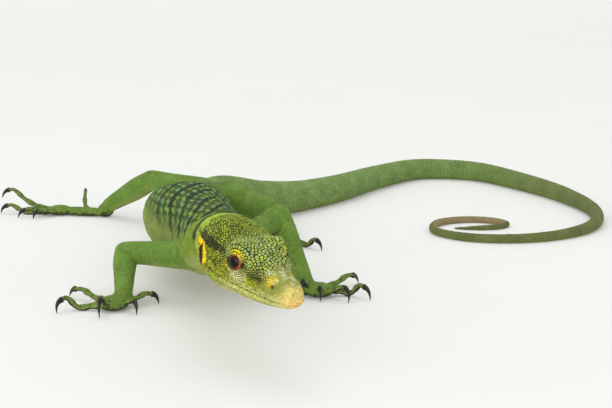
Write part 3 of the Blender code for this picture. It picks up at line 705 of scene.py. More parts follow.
def joint_weights(places):
    """Where the skin is smoothed: at the roots of the limbs, their joints and the roots of the digits."""
    spots = []
    for upper, lower in zip(LIMBS[::2], LIMBS[1::2]):
        root, far = np.array(upper[1]), np.array(upper[2])
        spots.append((root + unit(far - root) * ROOT_IN, ROOT_REACH))
        spots.append((far, JOINT_REACH))
        spots.append((np.array(lower[2]), WRIST_REACH))
    for digits in DIGITS.values():
        for points in digits:
            spots.append((np.array(points[0]), DIGIT_REACH))
    weights = np.zeros(len(places))
    for centre, reach in spots:
        weights = np.maximum(weights, np.exp(-(((places - centre) ** 2).sum(axis=1) / reach**2)))
    return weights


def plain_skin():
    """One closed skin round all of the plain forms, finest on the head."""
    meshes = [loft_mesh(form.rings(-COAT_DEPTH)) for form in FORMS]
    for eggs in SOLES.values():
        for x, y, z, length, width, height, turn in eggs:
            sizes = np.array((length, width, height)) - COAT_DEPTH
            meshes.append(egg_mesh((x, y, z), sizes, turn))
    whole = bmesh.new()
    for mesh in meshes:
        whole.from_mesh(mesh)
        bpy.data.meshes.remove(mesh)
    made = linked("skin", mesh_from(whole, "skin"))
    remesh = made.modifiers.new("remesh", "REMESH")
    remesh.mode = "VOXEL"
    remesh.voxel_size = VOXEL
    apply_modifiers(made)
    places = coordinates(made.data)
    facts = facts_at(places)
    on_head = (facts[:, KIND] == TRUNK_KIND) & (facts[:, ALONG] < NECK_AT + 2)
    small = facts[:, KIND] >= DIGIT_KIND
    weigh(made, "joints", joint_weights(places))
    weigh(made, "thin", np.where(on_head, 0.0, np.where(small, 0.5, 1.0)))
    even = made.modifiers.new("even", "SMOOTH")
    even.factor, even.iterations = 0.5, EVEN_STEPS
    soften = made.modifiers.new("soften", "SMOOTH")
    soften.factor, soften.iterations, soften.vertex_group = 0.5, SOFTEN_STEPS, "joints"
    thin = made.modifiers.new("thin", "DECIMATE")
    thin.ratio = SKIN_TRIANGLES / (2 * len(made.data.polygons))
    thin.vertex_group = "thin"
    apply_modifiers(made)
    return made


def look_of(side):
    """The way one eye looks."""
    back, left, up = head_axes()
    return unit(left * side - back * LOOK_AHEAD + up * LOOK_UP)


def eye_place(side):
    """The middle of one eyeball."""
    return head_place(EYE_BACK, side * EYE_OUT, EYE_UP)


def from_eye(places, side):
    """How far points lie from the middle of one eyeball."""
    return np.linalg.norm(places - eye_place(side), axis=1)


def gaze_angles(places, side):
    """How far points lie from the way one eye looks, in degrees. Its opening is longer than high."""
    look = look_of(side)
    back = head_axes()[0]
    along = unit(back - look * np.dot(look, back))
    across = np.cross(look, along)
    ray = places - eye_place(side)
    flat = np.hypot(ray @ along / OPENING_LONG, ray @ across)
    return np.degrees(np.arctan2(flat, ray @ look))


def ear_share(local):
    """How far points of the head lie from the middle of the ear, in its half sizes."""
    share = np.hypot((local[:, 0] - EAR_BACK) / EAR_LONG, (local[:, 2] - EAR_UP + EAR_LOW) / EAR_HIGH)
    return np.where(np.abs(local[:, 1]) > 6, share, FAR_SHARE)


def nostril_share(local):
    """How far points of the head lie from the middle of the nostril, in its half sizes."""
    share = np.hypot((local[:, 0] - NOSTRIL_BACK) / NOSTRIL_LONG, (local[:, 2] - NOSTRIL_UP) / NOSTRIL_HIGH)
    return np.where(np.abs(local[:, 1]) > 2.6, share, FAR_SHARE)


def mouth_offset(local):
    """How far points of the head lie above the line of the mouth."""
    line = np.array(MOUTH_LINE)
    return local[:, 2] - np.interp(local[:, 0], line[:, 0], line[:, 1])


def near_head(places):
    """Whether points are on the head or close to it."""
    return np.linalg.norm(places - head_place(24, 0, -2), axis=1) < 30


def refine(mesh):
    """Splits the skin's edges round the eyes, ears, nostrils and mouth, where the small forms are."""
    for reach in (1.0, 0.45):
        places = coordinates(mesh)
        local = in_head(places)
        zone = ear_share(local) < 1 + 0.5 * reach
        zone |= nostril_share(local) < 1 + 0.8 * reach
        zone |= (np.abs(mouth_offset(local)) < 1.2 * reach) & (local[:, 0] < MOUTH_CORNER)
        for side in (-1, 1):
            zone |= (from_eye(places, side) < 6.5) & (gaze_angles(places, side) < OPENING + 24 * reach)
        zone &= near_head(places)
        bm = bmesh.new()
        bm.from_mesh(mesh)
        bm.verts.ensure_lookup_table()
        edges = [e for e in bm.edges if zone[e.verts[0].index] and zone[e.verts[1].index]]
        bmesh.ops.subdivide_edges(bm, edges=edges, cuts=1, use_grid_fill=True)
        bmesh.ops.triangulate(bm, faces=[f for f in bm.faces if len(f.verts) > 4])
        bm.to_mesh(mesh)
        bm.free()


def wobble(places, scale, seed=0.0):
    """Smooth noise at the points, from about -1 to 1."""
    return np.array([noise.noise(Vector(p)) for p in (places * scale + seed).tolist()]) * 1.6


def shape_features(mesh):
    """Sinks the mouth, nostrils and ears into the skin, turns the lids round the eyes, and folds it."""
    places = coordinates(mesh)
    normals = normals_of(mesh)
    local = in_head(places)
    head = near_head(places)
    back, out, up = local[:, 0], np.abs(local[:, 1]), local[:, 2]
    push = np.zeros(len(places))
    gap = mouth_offset(local)
    lips = -0.4 * hump(gap, 0, 0.22) + 0.16 * hump(gap, 0.85, 0.5) + 0.12 * hump(gap, -0.8, 0.5)
    push += head * ramp(back, 37.0, 34.5) * lips
    nostril = nostril_share(local)
    push += head * (-0.95 * ramp(nostril, 1.1, 0.55) + 0.2 * hump(nostril, 1.5, 0.4))
    ear = ear_share(local)
    rim = hump(ear, 1.22, 0.2) * np.where(back < EAR_BACK, 0.0, 0.4)
    push += head * (-1.7 * ramp(ear, 1.05, 0.6) + rim)
    ridge = np.interp(back, (7, 14, 20, 24, 30), (3.2, 4.1, 5.3, 6.1, 6.3))
    push += head * 0.3 * hump(up, ridge, 0.8) * ramp(out, 2.0, 3.4) * ramp(back, 32, 27)
    brow = np.linalg.norm(np.column_stack([back, out, up]) - BROW, axis=1)
    push += head * 1.1 * hump(brow, 0, 4.2)
    push -= head * 0.5 * hump(back, 7.5, 5) * ramp(out, 1.6, 3.6) * ramp(up, -1.0, 0.6)
    facts = facts_at(places)
    trunk = facts[:, KIND] == TRUNK_KIND
    along, top = facts[:, ALONG], np.sin(facts[:, AROUND])
    push -= trunk * 0.45 * hump(along, 52.5 + 1.5 * top, 1.1) * ramp(top, 0.75, 0.2)
    folds = wobble(places, 0.2) + 0.5 * wobble(places, 0.45, 7.0)
    push += trunk * folds * 0.25 * ramp(along, 50, 60) * ramp(along, VENT + 20, VENT) * ramp(top, 0.95, 0.4)
    places = places + normals * push[:, None]
    for side in (-1, 1):
        angle = gaze_angles(places, side)
        ray, far = places - eye_place(side), from_eye(places, side)
        lid = EYE_RADIUS + LID_EDGE + 0.3 * ramp(angle, OPENING + 3, OPENING + 12)
        within = EYE_RADIUS - 0.5 + (0.5 + LID_EDGE) * ramp(angle, OPENING - 3, OPENING)
        lid = np.where(angle < OPENING, within, lid)
        blended = lid + (far - lid) * ramp(angle, OPENING + 7, OPENING + LID_SPREAD)
        near = head & (angle < OPENING + LID_SPREAD) & (far < 8)
        places[near] = (eye_place(side) + ray / far[:, None] * blended[:, None])[near]
    places[:, 2] = np.maximum(places[:, 2], LOWEST_SKIN)
    mesh.vertices.foreach_set("co", places.ravel())
    mesh.update()


def spacing_at(facts):
    """How far apart the scales are at points."""
    local = in_head(facts[:, :3])
    along = facts[:, ALONG]
    brow = ramp(local[:, 2], 2.2, 4.2) * ramp(local[:, 0], 34, 27) * ramp(local[:, 0], 10, 14)
    crown = ramp(local[:, 2], 1.5, 3.5) * ramp(local[:, 0], 26, 33)
    head = 0.62 + 0.4 * brow + 0.14 * crown
    head += 0.06 * ramp(local[:, 0], 14, 5) + 0.12 * ramp(local[:, 2], -5, -9)
    body = np.interp(along, *BODY_SPACING)
    trunk = np.where(along < NECK_AT, head, body)
    kind = facts[:, KIND]
    return np.select([kind == TRUNK_KIND, kind == LIMB_KIND, kind == DIGIT_KIND], [trunk, 0.84, 0.6], 0.7)


def rows_of(form, start, end, stretch):
    """Staggered rows of scale sites all round a form."""
    angle_sets, distances = [], []
    along, count, odd = start, 0, False
    while along < end:
        probe = np.zeros((1, COLUMNS))
        probe[0, KIND], probe[0, ALONG] = form.kind, along
        width = spacing_at(probe)[0]
        row = form.track.read([along])[0]
        wanted = math.pi * (row[3] + (row[4] + row[5]) / 2) / width
        if abs(count - wanted) > 0.05 * wanted:
            count = max(6, round(wanted))
        angle_sets.append((np.arange(count) + 0.5 * odd + 0.25) * 2 * math.pi / count)
        distances.append(along)
        along += width * stretch
        odd = not odd
    return np.concatenate(form.rings_at(np.array(distances), angle_sets))


def labial_rows():
    """Sites of the scales along both lips, round the front of the snout from corner to corner."""
    line = np.array(MOUTH_LINE)
    found = []
    for offset, width in LIP_ROWS:
        path = []
        for side in (-1, 1):
            backs = np.linspace(35.0, 0.1, 200)
            ups = np.interp(backs, line[:, 0], line[:, 1]) + offset
            half = []
            for back, row, up in zip(backs, TRUNK.track.read(backs), ups):
                level = min(0.999, abs(up) / (row[5] if up < 0 else row[4]))
                half.append(head_place(back, side * row[3] * (1 - level ** row[6]) ** (1 / row[6]), up))
            path += half if side < 0 else half[::-1]
        path = np.array(path)
        lengths = np.concatenate([[0.0], np.cumsum(np.linalg.norm(np.diff(path, axis=0), axis=1))])
        at = np.arange(width / 2, lengths[-1], width)
        found.append(np.column_stack([np.interp(at, lengths, column) for column in path.T]))
    return np.concatenate(found)


def lid_rows(surface):
    """Sites of the small scales in rings round each eye."""
    back = head_axes()[0]
    found = []
    for side in (-1, 1):
        look = look_of(side)
        along = unit(back - look * np.dot(look, back))
        across = np.cross(look, along)
        for row, (angle, count) in enumerate(LID_ROWS):
            tilt = math.radians(OPENING + angle)
            for turn in (np.arange(count) + 0.5 * (row % 2)) * 2 * math.pi / count:
                flat = along * math.cos(turn) * OPENING_LONG + across * math.sin(turn)
                ray = unit(look * math.cos(tilt) + flat * math.sin(tilt))
                hit = surface.ray_cast(Vector(eye_place(side) + ray * EYE_RADIUS), Vector(ray), 6.0)
                if hit[0] is not None:
                    found.append(hit[0])
    return np.array(found)


def ear_rows():
    """Sites of the scales along the border of each ear."""
    found = []
    for side in (-1, 1):
        for reach, count in EAR_ROWS:
            for turn in np.arange(count) * 2 * math.pi / count:
                back = EAR_BACK + EAR_RIM_LONG * reach * math.cos(turn)
                up = EAR_UP - EAR_LOW + EAR_RIM_HIGH * reach * math.sin(turn)
                found.append(head_place(back, side * EAR_OUT, up))
    return np.array(found)


def snapped(surface, points, reach):
    """The places on the surface nearest to the points, without points further off than the reach."""
    found = [surface.find_nearest(Vector(point), reach)[0] for point in points.tolist()]
    return np.array([place for place in found if place is not None])


class Sieve:
    """Keeps points that are far enough from those kept before."""

    CELL = 1.3  # the width of the boxes that it sorts them into, wider than any reach

    def __init__(self):
        self.cells, self.kept = {}, []

    def offer(self, point, reach):
        """Keeps the point unless one kept before lies within its reach."""
        x, y, z = point
        i, j, k = int(x // self.CELL), int(y // self.CELL), int(z // self.CELL)
        limit = reach * reach
        for a in (i - 1, i, i + 1):
            for b in (j - 1, j, j + 1):
                for c in (k - 1, k, k + 1):
                    for p, q, r in self.cells.get((a, b, c), ()):
                        if (p - x) ** 2 + (q - y) ** 2 + (r - z) ** 2 < limit:
                            return False
        self.cells.setdefault((i, j, k), []).append((x, y, z))
        self.kept.append((x, y, z))
        return True


def scattered(mesh, surface, sieve):
    """Even, irregular sites wherever the rows leave the skin open: the head, the palms and the roots."""
    rng = np.random.default_rng(SEED)
    mesh.calc_loop_triangles()
    corners = np.zeros(len(mesh.loop_triangles) * 3, np.int64)
    mesh.loop_triangles.foreach_get("vertices", corners)
    corners = coordinates(mesh)[corners.reshape(-1, 3)]
    middles = corners.mean(axis=1)
    facts = facts_at(middles)
    widths = spacing_at(facts)
    if sieve.kept:
        tree = tree_of(np.array(sieve.kept))
        gaps = np.array([tree.find(p)[2] for p in middles.tolist()])
    else:
        gaps = np.full(len(middles), 9.0)
    inside_eye = np.minimum(gaze_angles(middles, -1), gaze_angles(middles, 1)) < OPENING + 1
    inside_eye &= near_head(middles) & (np.minimum(from_eye(middles, -1), from_eye(middles, 1)) < 4.5)
    local = in_head(middles)
    hole = near_head(middles) & ((ear_share(local) < 0.95) | (nostril_share(local) < 1.1))
    open_skin = (gaps > OPEN_GAP * widths) & ~inside_eye & ~hole
    first_side, second_side = corners[:, 1] - corners[:, 0], corners[:, 2] - corners[:, 0]
    areas = np.linalg.norm(np.cross(first_side, second_side), axis=1) / 2
    shares = np.where(open_skin, areas / widths**2, 0)
    count = int(TRIES * shares.sum())
    chosen = rng.choice(len(shares), count, p=shares / shares.sum())
    u, v = rng.random((2, count, 1))
    flip = u + v > 1
    u, v = np.where(flip, 1 - u, u), np.where(flip, 1 - v, v)
    picked = corners[chosen]
    points = picked[:, 0] + (picked[:, 1] - picked[:, 0]) * u + (picked[:, 2] - picked[:, 0]) * v
    widths = widths[chosen]
    first = len(sieve.kept)
    for point, width in zip(points.tolist(), widths.tolist()):
        sieve.offer(point, OPEN_REACH * width)
    sites = np.array(sieve.kept)
    for _ in range(2):
        owners = nearest_index(tree_of(sites), points)
        total = np.zeros_like(sites)
        np.add.at(total, owners, points)
        members = np.bincount(owners, minlength=len(sites))
        moved = (members > 2) & (np.arange(len(sites)) >= first)
        centres = total[moved] / members[moved][:, None]
        sites[moved] = [surface.find_nearest(Vector(p))[0] for p in centres.tolist()]
    return sites


def all_sites(mesh, surface):
    """Every scale's place on the skin."""
    rows = [lid_rows(surface), snapped(surface, ear_rows(), 2.0), snapped(surface, labial_rows(), 1.5)]
    rows.append(snapped(surface, rows_of(TRUNK, NECK_AT + 0.5, VENT, BODY_STRETCH), 0.8))
    rows.append(snapped(surface, rows_of(TRUNK, VENT, TRUNK.track.length - 0.4, TAIL_STRETCH), 0.8))
    for form in FORMS[1:]:
        rows.append(snapped(surface, rows_of(form, 0.3, form.track.length - 0.1, BODY_STRETCH), 0.5))
    sieve = Sieve()
    points = np.concatenate(rows)
    widths = spacing_at(facts_at(points))
    count = sum(len(r) for r in rows[:3])
    widths[:count] = np.minimum(widths[:count], SMALLEST)
    for point, width in zip(points.tolist(), widths.tolist()):
        sieve.offer(point, ROW_REACH * width)
    return scattered(mesh, surface, sieve)


def side_axes(normals, lie):
    """Two directions on the skin at each site: along the lie, and across it."""
    along = lie - normals * (lie * normals).sum(axis=1)[:, None]
    length = np.linalg.norm(along, axis=1)
    along[length < 0.1] = np.cross(normals[length < 0.1], (0.3, 0.9, 0.1))
    along /= np.linalg.norm(along, axis=1)[:, None]
    return along, np.cross(normals, along)


def outlines(sites, along, across, widths, gaps, sides, rounding):
    """How far each scale reaches to each of its sides before it meets a neighbour."""
    tree = tree_of(sites)
    near = np.array([[hit[1] for hit in tree.find_n(point, NEIGHBOURS + 1)[1:]] for point in sites.tolist()])
    offsets = sites[near] - sites[:, None]
    squared = (offsets**2).sum(axis=2)
    u = (offsets * along[:, None]).sum(axis=2)
    v = (offsets * across[:, None]).sum(axis=2)
    turns = (np.arange(sides) + 0.5) * 2 * math.pi / sides
    reaches = np.zeros((len(sites), sides))
    for k, turn in enumerate(turns):
        toward = u * math.cos(turn) + v * math.sin(turn)
        reaches[:, k] = np.where(toward > 1e-3, squared / (2 * np.maximum(toward, 1e-3)), 9.0).min(axis=1)
    reaches = np.minimum(reaches, widths[:, None] * MOST_REACH)
    beside = (np.roll(reaches, 1, axis=1) + np.roll(reaches, -1, axis=1)) / 2
    return np.maximum(reaches * (1 - rounding) + beside * rounding - gaps[:, None] / 2, LEAST_REACH)


def scale_vertices(sites, normals, along, across, reaches, heights, profile, keels):
    """The places of every scale's vertices: the rings of its profile, then its top."""
    sides = reaches.shape[1]
    turns = (np.arange(sides) + 0.5) * 2 * math.pi / sides
    layers = []
    for share, lift in profile:
        flat = reaches * share
        rise = heights[:, None] * lift + (keels[:, None] * np.abs(np.cos(turns)) ** 4 if lift > 0 else 0)
        rise = np.where(lift > 0, rise, -ROOT_DEPTH)
        layers.append(
            sites[:, None]
            + along[:, None] * (flat * np.cos(turns))[:, :, None]
            + across[:, None] * (flat * np.sin(turns))[:, :, None]
            + normals[:, None] * rise[:, :, None]
        )
    layers.append((sites + normals * (heights + keels)[:, None])[:, None])
    places = np.concatenate(layers, axis=1)
    places[:, :, 2] = np.maximum(places[:, :, 2], LOWEST_SCALE)
    return places


def scale_faces(sides, rings):
    """One scale's faces as vertex numbers: walls of four corners, then the top's of three."""
    walls = []
    for level in range(rings - 1):
        for k in range(sides):
            after = (k + 1) % sides
            low, high = level * sides, (level + 1) * sides
            walls.append((low + k, low + after, high + after, high + k))
    top = (rings - 1) * sides
    caps = [(top + k, top + (k + 1) % sides, rings * sides) for k in range(sides)]
    return np.array(walls), np.array(caps)


def bake_roots(facts):
    """Each scale's root on an unwrap of the skin: one strip for each form, along it and around it."""
    roots = np.zeros((len(facts), 2))
    base = 0.0
    for number in np.unique(facts[:, FORM_NUMBER]):
        members = facts[:, FORM_NUMBER] == number
        strip = members.mean()
        along = facts[members, ALONG]
        span = max(along.max() - along.min(), 1.0)
        roots[members, 0] = 0.005 + 0.99 * (along - along.min()) / span
        roots[members, 1] = base + strip * (0.02 + 0.96 * facts[members, AROUND] / (2 * math.pi))
        base += strip
    return roots


def joined_scales(name, places, facts, colours, sides, rings, root_shade):
    """One mesh of many scales, with their markings, their crowns and the patches for baking."""
    count, each = places.shape[:2]
    walls, caps = scale_faces(sides, rings)
    starts = (np.arange(count) * each)[:, None]
    loops = np.concatenate([(starts + walls.ravel()).ravel(), (starts + caps.ravel()).ravel()])
    sizes = np.concatenate([np.full(count * len(walls), 4), np.full(count * len(caps), 3)])
    mesh = bpy.data.meshes.new(name)
    mesh.vertices.add(count * each)
    mesh.vertices.foreach_set("co", places.ravel())
    mesh.loops.add(len(loops))
    mesh.loops.foreach_set("vertex_index", loops)
    mesh.polygons.add(len(sizes))
    mesh.polygons.foreach_set("loop_start", np.concatenate([[0], np.cumsum(sizes)[:-1]]))
    mesh.update(calc_edges=True)
    put_in_place(mesh, places.reshape(-1, 3))
    add_colours(mesh, np.repeat(colours, each, axis=0))
    crowns = np.ones((count, each))
    crowns[:, :sides] = root_shade
    add_numbers(mesh, "crown", crowns)
    turns = (np.arange(sides) + 0.5) * 2 * math.pi / sides
    spread = np.zeros((each, 2))
    for level in range(rings):
        ring_at = slice(level * sides, (level + 1) * sides)
        reach = BAKE_PATCH * (rings - level) / rings
        spread[ring_at] = np.column_stack([np.cos(turns), np.sin(turns)]) * reach
    patches = (bake_roots(facts)[:, None] + spread).reshape(-1, 2)
    mesh.uv_layers.new(name="OFBake").data.foreach_set("uv", patches[loops].ravel())
    return linked(name, mesh)


def colour(red, green, blue):
    """A colour read off as 0 to 255, as the light that the shader wants."""
    value = np.array((red, green, blue)) / 255
    return np.where(value <= 0.04045, value / 12.92, ((value + 0.055) / 1.055) ** 2.4)


# The animal's colours
CROWN_GREEN = colour(150, 168, 46)
CROWN_GREY = colour(152, 168, 98)
CROWN_DARK = colour(50, 58, 24)
CHEEK = colour(166, 174, 40)
SNOUT_GREEN = colour(142, 148, 64)
# Painted highlight: the pale of the streaks on top of the snout
SNOUT_HIGHLIGHT = colour(182, 186, 144)
SNOUT_TIP = colour(206, 189, 110)
LIP_ORANGE = colour(236, 186, 108)
LIP_PALE = colour(206, 200, 124)
JAW_GREEN = colour(176, 176, 108)
TEMPLE_DARK = colour(38, 38, 20)
BRIGHT_YELLOW = colour(255, 212, 10)
EYE_YELLOW = colour(236, 216, 24)
EYE_CREAM = colour(222, 214, 160)
EAR_BROWN = colour(78, 48, 28)
NAPE = colour(164, 192, 56)
NECK_GREEN = colour(114, 138, 36)
BACK_GREEN = colour(66, 88, 26)
OCELLUS = colour(112, 164, 92)
OCELLUS_YELLOW = colour(130, 160, 56)
FLANK = colour(124, 142, 62)
BELLY = colour(160, 166, 92)
BAND_BLACK = colour(12, 16, 10)
LIMB_GREEN = colour(104, 138, 54)
LIMB_LIGHT = colour(122, 150, 66)
LIMB_DARK = colour(66, 96, 34)
DIGIT_GREEN = colour(104, 128, 52)
SOLE_GREY = colour(52, 50, 40)
TAIL_GREEN = colour(120, 148, 82)
TAIL_OLIVE = colour(106, 116, 66)
COIL_TAN = colour(160, 138, 102)
HEAD_GROUND = colour(20, 20, 8)
# The rings of an eye, by how far each lies from the way it looks: pupil, brown iris, orange rim, dark rest
EYE_RINGS = (
    (0.0, colour(4, 3, 4)),
    (0.40, colour(5, 4, 5)),
    (0.46, colour(40, 16, 14)),
    (0.70, colour(66, 26, 20)),
    (0.75, colour(196, 110, 74)),
    (0.82, colour(160, 74, 48)),
    (0.88, colour(60, 26, 20)),
    (0.98, colour(26, 14, 12)),
)


def blend(first, second, share):
    """Rows of colour between two, by a share for each row."""
    share = np.clip(share, 0, 1)[:, None]
    return first * (1 - share) + second * share


def eye_surround(tone, places, back, up):
    """The colours round each eye: yellow above and behind, cream below, and dark in line with it."""
    for side in (-1, 1):
        near = from_eye(places, side)
        angle = gaze_angles(places, side)
        round_eye = np.degrees(np.arctan2(up - EYE_UP, EYE_BACK - back))
        past = angle - OPENING
        ring = ramp(past, 0, 3) * ramp(past, 25, 15) * ramp(near, 8, 6)
        tone = blend(tone, EYE_YELLOW, ring * hump(round_eye, 66, 40) * ramp(past, 16, 9))
        tone = blend(tone, EYE_YELLOW, ring * hump(round_eye, -134, 22))
        tone = blend(tone, EYE_CREAM, ring * hump(round_eye, -66, 38) * 1.2)
        close = ramp(past, 12, 6) * ramp(near, 7, 5)
        tone = blend(tone, TEMPLE_DARK, close * hump(round_eye, 2, 17) * 0.9)
        tone = blend(tone, TEMPLE_DARK, close * hump(np.abs(round_eye), 168, 26) * 0.9)
        tone = blend(tone, EAR_BROWN * 0.5, ramp(past, 2.5, 0.5) * ramp(near, 7, 5))
    return tone


def ear_surround(tone, back, up, ear):
    """The ear's hollow, darkened with painted shade, and the yellow line in front of it and over it. Gives
    that line's share too.
    """
    round_ear = np.hypot((back - EAR_BACK) / 3.5, (up - EAR_UP) / 2.7)
    front = ramp(np.abs(round_ear - 0.9), 0.27, 0.15)
    front *= ramp(back, EAR_BACK + 1.0, EAR_BACK) * ramp(up, -4.6, -3.4)
    above = np.abs(up - np.interp(back, (41, 48), (2.1, 1.2)))
    over = ramp(above, 0.95, 0.6) * ramp(back, 41, 42) * ramp(back, 49, 47.5)
    yellow = np.maximum(front, over)
    tone = blend(tone, BRIGHT_YELLOW, yellow)
    # Painted shade: the ear's hollow darkened
    return blend(tone, EAR_BROWN, ramp(ear, 1.35, 1.05)), yellow


def head_markings(tone, facts, rng):
    """The head's colours, and how dark the skin between its scales is."""
    places = facts[:, :3]
    back, out, up = in_head(places).T
    side = np.abs(out)
    grain = wobble(places, 0.5)
    fine = wobble(places, 1.3, 5.0)
    chance = rng.random(len(places))
    crown = ramp(up, 0.5, 4.0)
    rear = ramp(back, 28, 34)
    tone = blend(tone, CHEEK, ramp(up, -8, -4))
    tone = blend(tone, CROWN_GREEN, crown)
    tone = blend(tone, CROWN_GREY, crown * (0.25 + 0.75 * ramp(chance, 0.3, 0.6)) * ramp(back, 36, 28))
    tone = blend(tone, CROWN_DARK, crown * rear * ramp(chance + 0.06 * grain, 0.66, 0.76) * 0.7)
    cheek = (1 - crown) * ramp(back, 16, 22) * ramp(up, -8, -5)
    tone = blend(tone, CROWN_DARK, cheek * ramp(chance, 0.76, 0.82) * 0.7)
    snout = ramp(back + 1.2 * grain, 17, 11)
    tone = blend(tone, SNOUT_GREEN, snout)
    # Painted highlights: pale streaks over the top of the snout
    streaks = wobble(np.column_stack([back * 0.35, out * 1.6, up * 0.6]), 1.0, 8.0)
    tone = blend(tone, SNOUT_HIGHLIGHT, snout * ramp(up, 1.0, 2.6) * ramp(streaks, -0.1, 0.5) * 0.9)
    flecks = ramp(chance, 0.8, 0.9) * ramp(up, 0.5, 2.5) * ramp(back, 7, 12)
    tone = blend(tone, CROWN_DARK, snout * flecks * 0.5)
    tip = ramp(back + 0.4 * up + grain + 0.6 * fine, 6.5, 2.0)
    tone = blend(tone, SNOUT_TIP, tip * (0.75 + 0.5 * chance))
    local = in_head(places)
    gap = mouth_offset(local)
    tone = blend(tone, LIP_PALE, ramp(back, 30, 24) * hump(gap, 0.8, 0.9) * 0.7)
    tone = blend(tone, LIP_PALE, hump(gap, -1.2, 0.9) * ramp(back, 36, 28) * 0.8)
    tone = blend(tone, LIP_ORANGE, ramp(back, 3.4, 1.0) * hump(gap, 0.5, 1.3) * 0.8)
    tone = blend(tone, JAW_GREEN, ramp(gap, -2.0, -4.0) * ramp(back, 3, 8) * 0.9)
    tone = blend(tone, BRIGHT_YELLOW, 0.62 * hump(np.hypot(back - 9.8, up - 1.9), 0, 1.6) * (side > 2.2))
    # Painted shade: the nostril darkened
    tone = blend(tone, TEMPLE_DARK, 0.5 * hump(nostril_share(local), 0.4, 0.8))
    low = 2.7 + 0.3 * fine
    high = np.interp(back, (27, 30, 35, 39, 44.5, 49), (3.2, 4.0, 4.4, 4.7, 4.4, 3.7)) + 0.4 * fine
    temple = ramp(up, low - 0.4, low + 0.1) * ramp(up, high + 0.7, high - 0.4) * ramp(back, 27.4, 28.6)
    tone = blend(tone, TEMPLE_DARK, temple * np.where(chance > 0.74, 0.15, 0.9) * (side > 4))
    ahead = np.interp(back, (12, 16, 19, 23), (1.0, 1.0, 1.3, 2.3))
    loreal = hump(up - ahead, 0, 0.7) * ramp(back, 11, 14) * ramp(back, 23.4, 22.0)
    tone = blend(tone, TEMPLE_DARK, loreal * 0.75 * (side > 3))
    spots = ramp(grain + 0.4 * fine, 0.15, 0.45) * ramp(up, 0.8, -0.8) * ramp(gap, 0.6, 1.6)
    tone = blend(tone, TEMPLE_DARK, spots * ramp(back, 25, 29) * ramp(back, 46, 41) * 0.75)
    nape = ramp(facts[:, ALONG] + 0.7 * fine, 45.6, 48.2) * ramp(up, 2.6, 4.0)
    tone = blend(tone, NAPE, nape * np.where(chance > 0.82, 0.3, 1.0))
    tone = eye_surround(tone, places, back, up)
    tone, yellow = ear_surround(tone, back, up, ear_share(local))
    dark = ramp(up, -7, -3) * (0.3 + 0.7 * ramp(back, 5, 15)) * ramp(gap, -3.5, 0.5) * (1 - yellow)
    return tone, 0.15 + 0.85 * dark


def trunk_markings(facts):
    """The colours from neck to hips: a green back with rows of light spots between narrow black bands."""
    along, angle = facts[:, ALONG], facts[:, AROUND]
    top = np.sin(angle)
    degrees = (np.degrees(angle) + 90) % 360 - 90
    places = facts[:, :3]
    grain, fine = wobble(places, 0.32), wobble(places, 1.1, 3.0)
    tone = blend(np.tile(FLANK, (len(along), 1)), NECK_GREEN, ramp(along, 110, 80))
    tone = blend(tone, BACK_GREEN, ramp(top, 0.1, 0.7) * ramp(along, 70, 110))
    tone = blend(tone, BELLY, ramp(top, -0.35, -0.9))
    tone = blend(tone, NAPE, ramp(along, 55, 51) * ramp(top, 0.1, 0.5))
    leaning = np.where(degrees > BAND_TOP, degrees - 90, 2 * BAND_TOP - 90 - degrees)
    slanted = along + BAND_SLANT * leaning + 0.9 * grain
    radius = np.interp(along, (48, 90, 130, 180, 224), (9, 8.5, 13, 16, 10))
    around = (angle - math.pi / 2) * radius
    row = np.floor((slanted - BAND_AT) / SPOT_LONG)
    column = np.floor(around / SPOT_WIDE + 0.5 * (row % 2))
    long_way = (slanted - BAND_AT) / SPOT_LONG - row - 0.5
    wide_way = around / SPOT_WIDE + 0.5 * (row % 2) - column - 0.5
    spot = np.hypot(long_way / 0.8, wide_way) + 0.1 * fine
    body = ramp(slanted, 104, 116) * ramp(along, VENT - 4, VENT - 40)
    body *= ramp(degrees, 165, 135) * ramp(degrees, -20, 20)
    warm = (np.sin(row * 12.9 + column * 78.2) * 43.7) % 1
    light = blend(np.tile(OCELLUS, (len(along), 1)), OCELLUS_YELLOW, ramp(warm, 0.3, 0.7))
    tone = blend(tone, light, ramp(spot, 0.42, 0.26) * body * 0.95)
    tone = blend(tone, BAND_BLACK, ramp(spot, 0.42, 0.56) * body * ramp(grain, -0.7, 0.3) * 0.6)
    nearest = np.abs((slanted - BAND_AT + BAND_PITCH / 2) % BAND_PITCH - BAND_PITCH / 2)
    strength = ramp(slanted, 121, 126) + ramp(slanted, 106, 110) * ramp(degrees, 116, 106)
    strength *= 1 - 0.6 * ramp(grain + 0.6 * fine, 0.15, 0.5)
    strength *= ramp(slanted, 205, 165) * ramp(along, 62, 76)
    strength *= ramp(degrees, 178, 150) * ramp(degrees, -30, 5)
    aside = np.abs(degrees - 90)
    strength += 0.75 * ramp(along, 60, 68) * ramp(slanted, 124, 112) * ramp(aside, 42, 22)
    tone = blend(tone, BAND_BLACK, ramp(nearest + 0.9 * fine, 3.3, 2.0) * np.clip(strength, 0, 1) * 0.92)
    # Painted shade: a black line laid along the fold of skin behind the head
    fold_shade = ramp(np.abs(along - FOLD_SHADE_AT) + 0.3 * fine, 2.1, 1.1)
    fold_shade *= ramp(aside, 0, 14) * ramp(aside, 96, 78)
    return blend(tone, BAND_BLACK, fold_shade * 0.9)


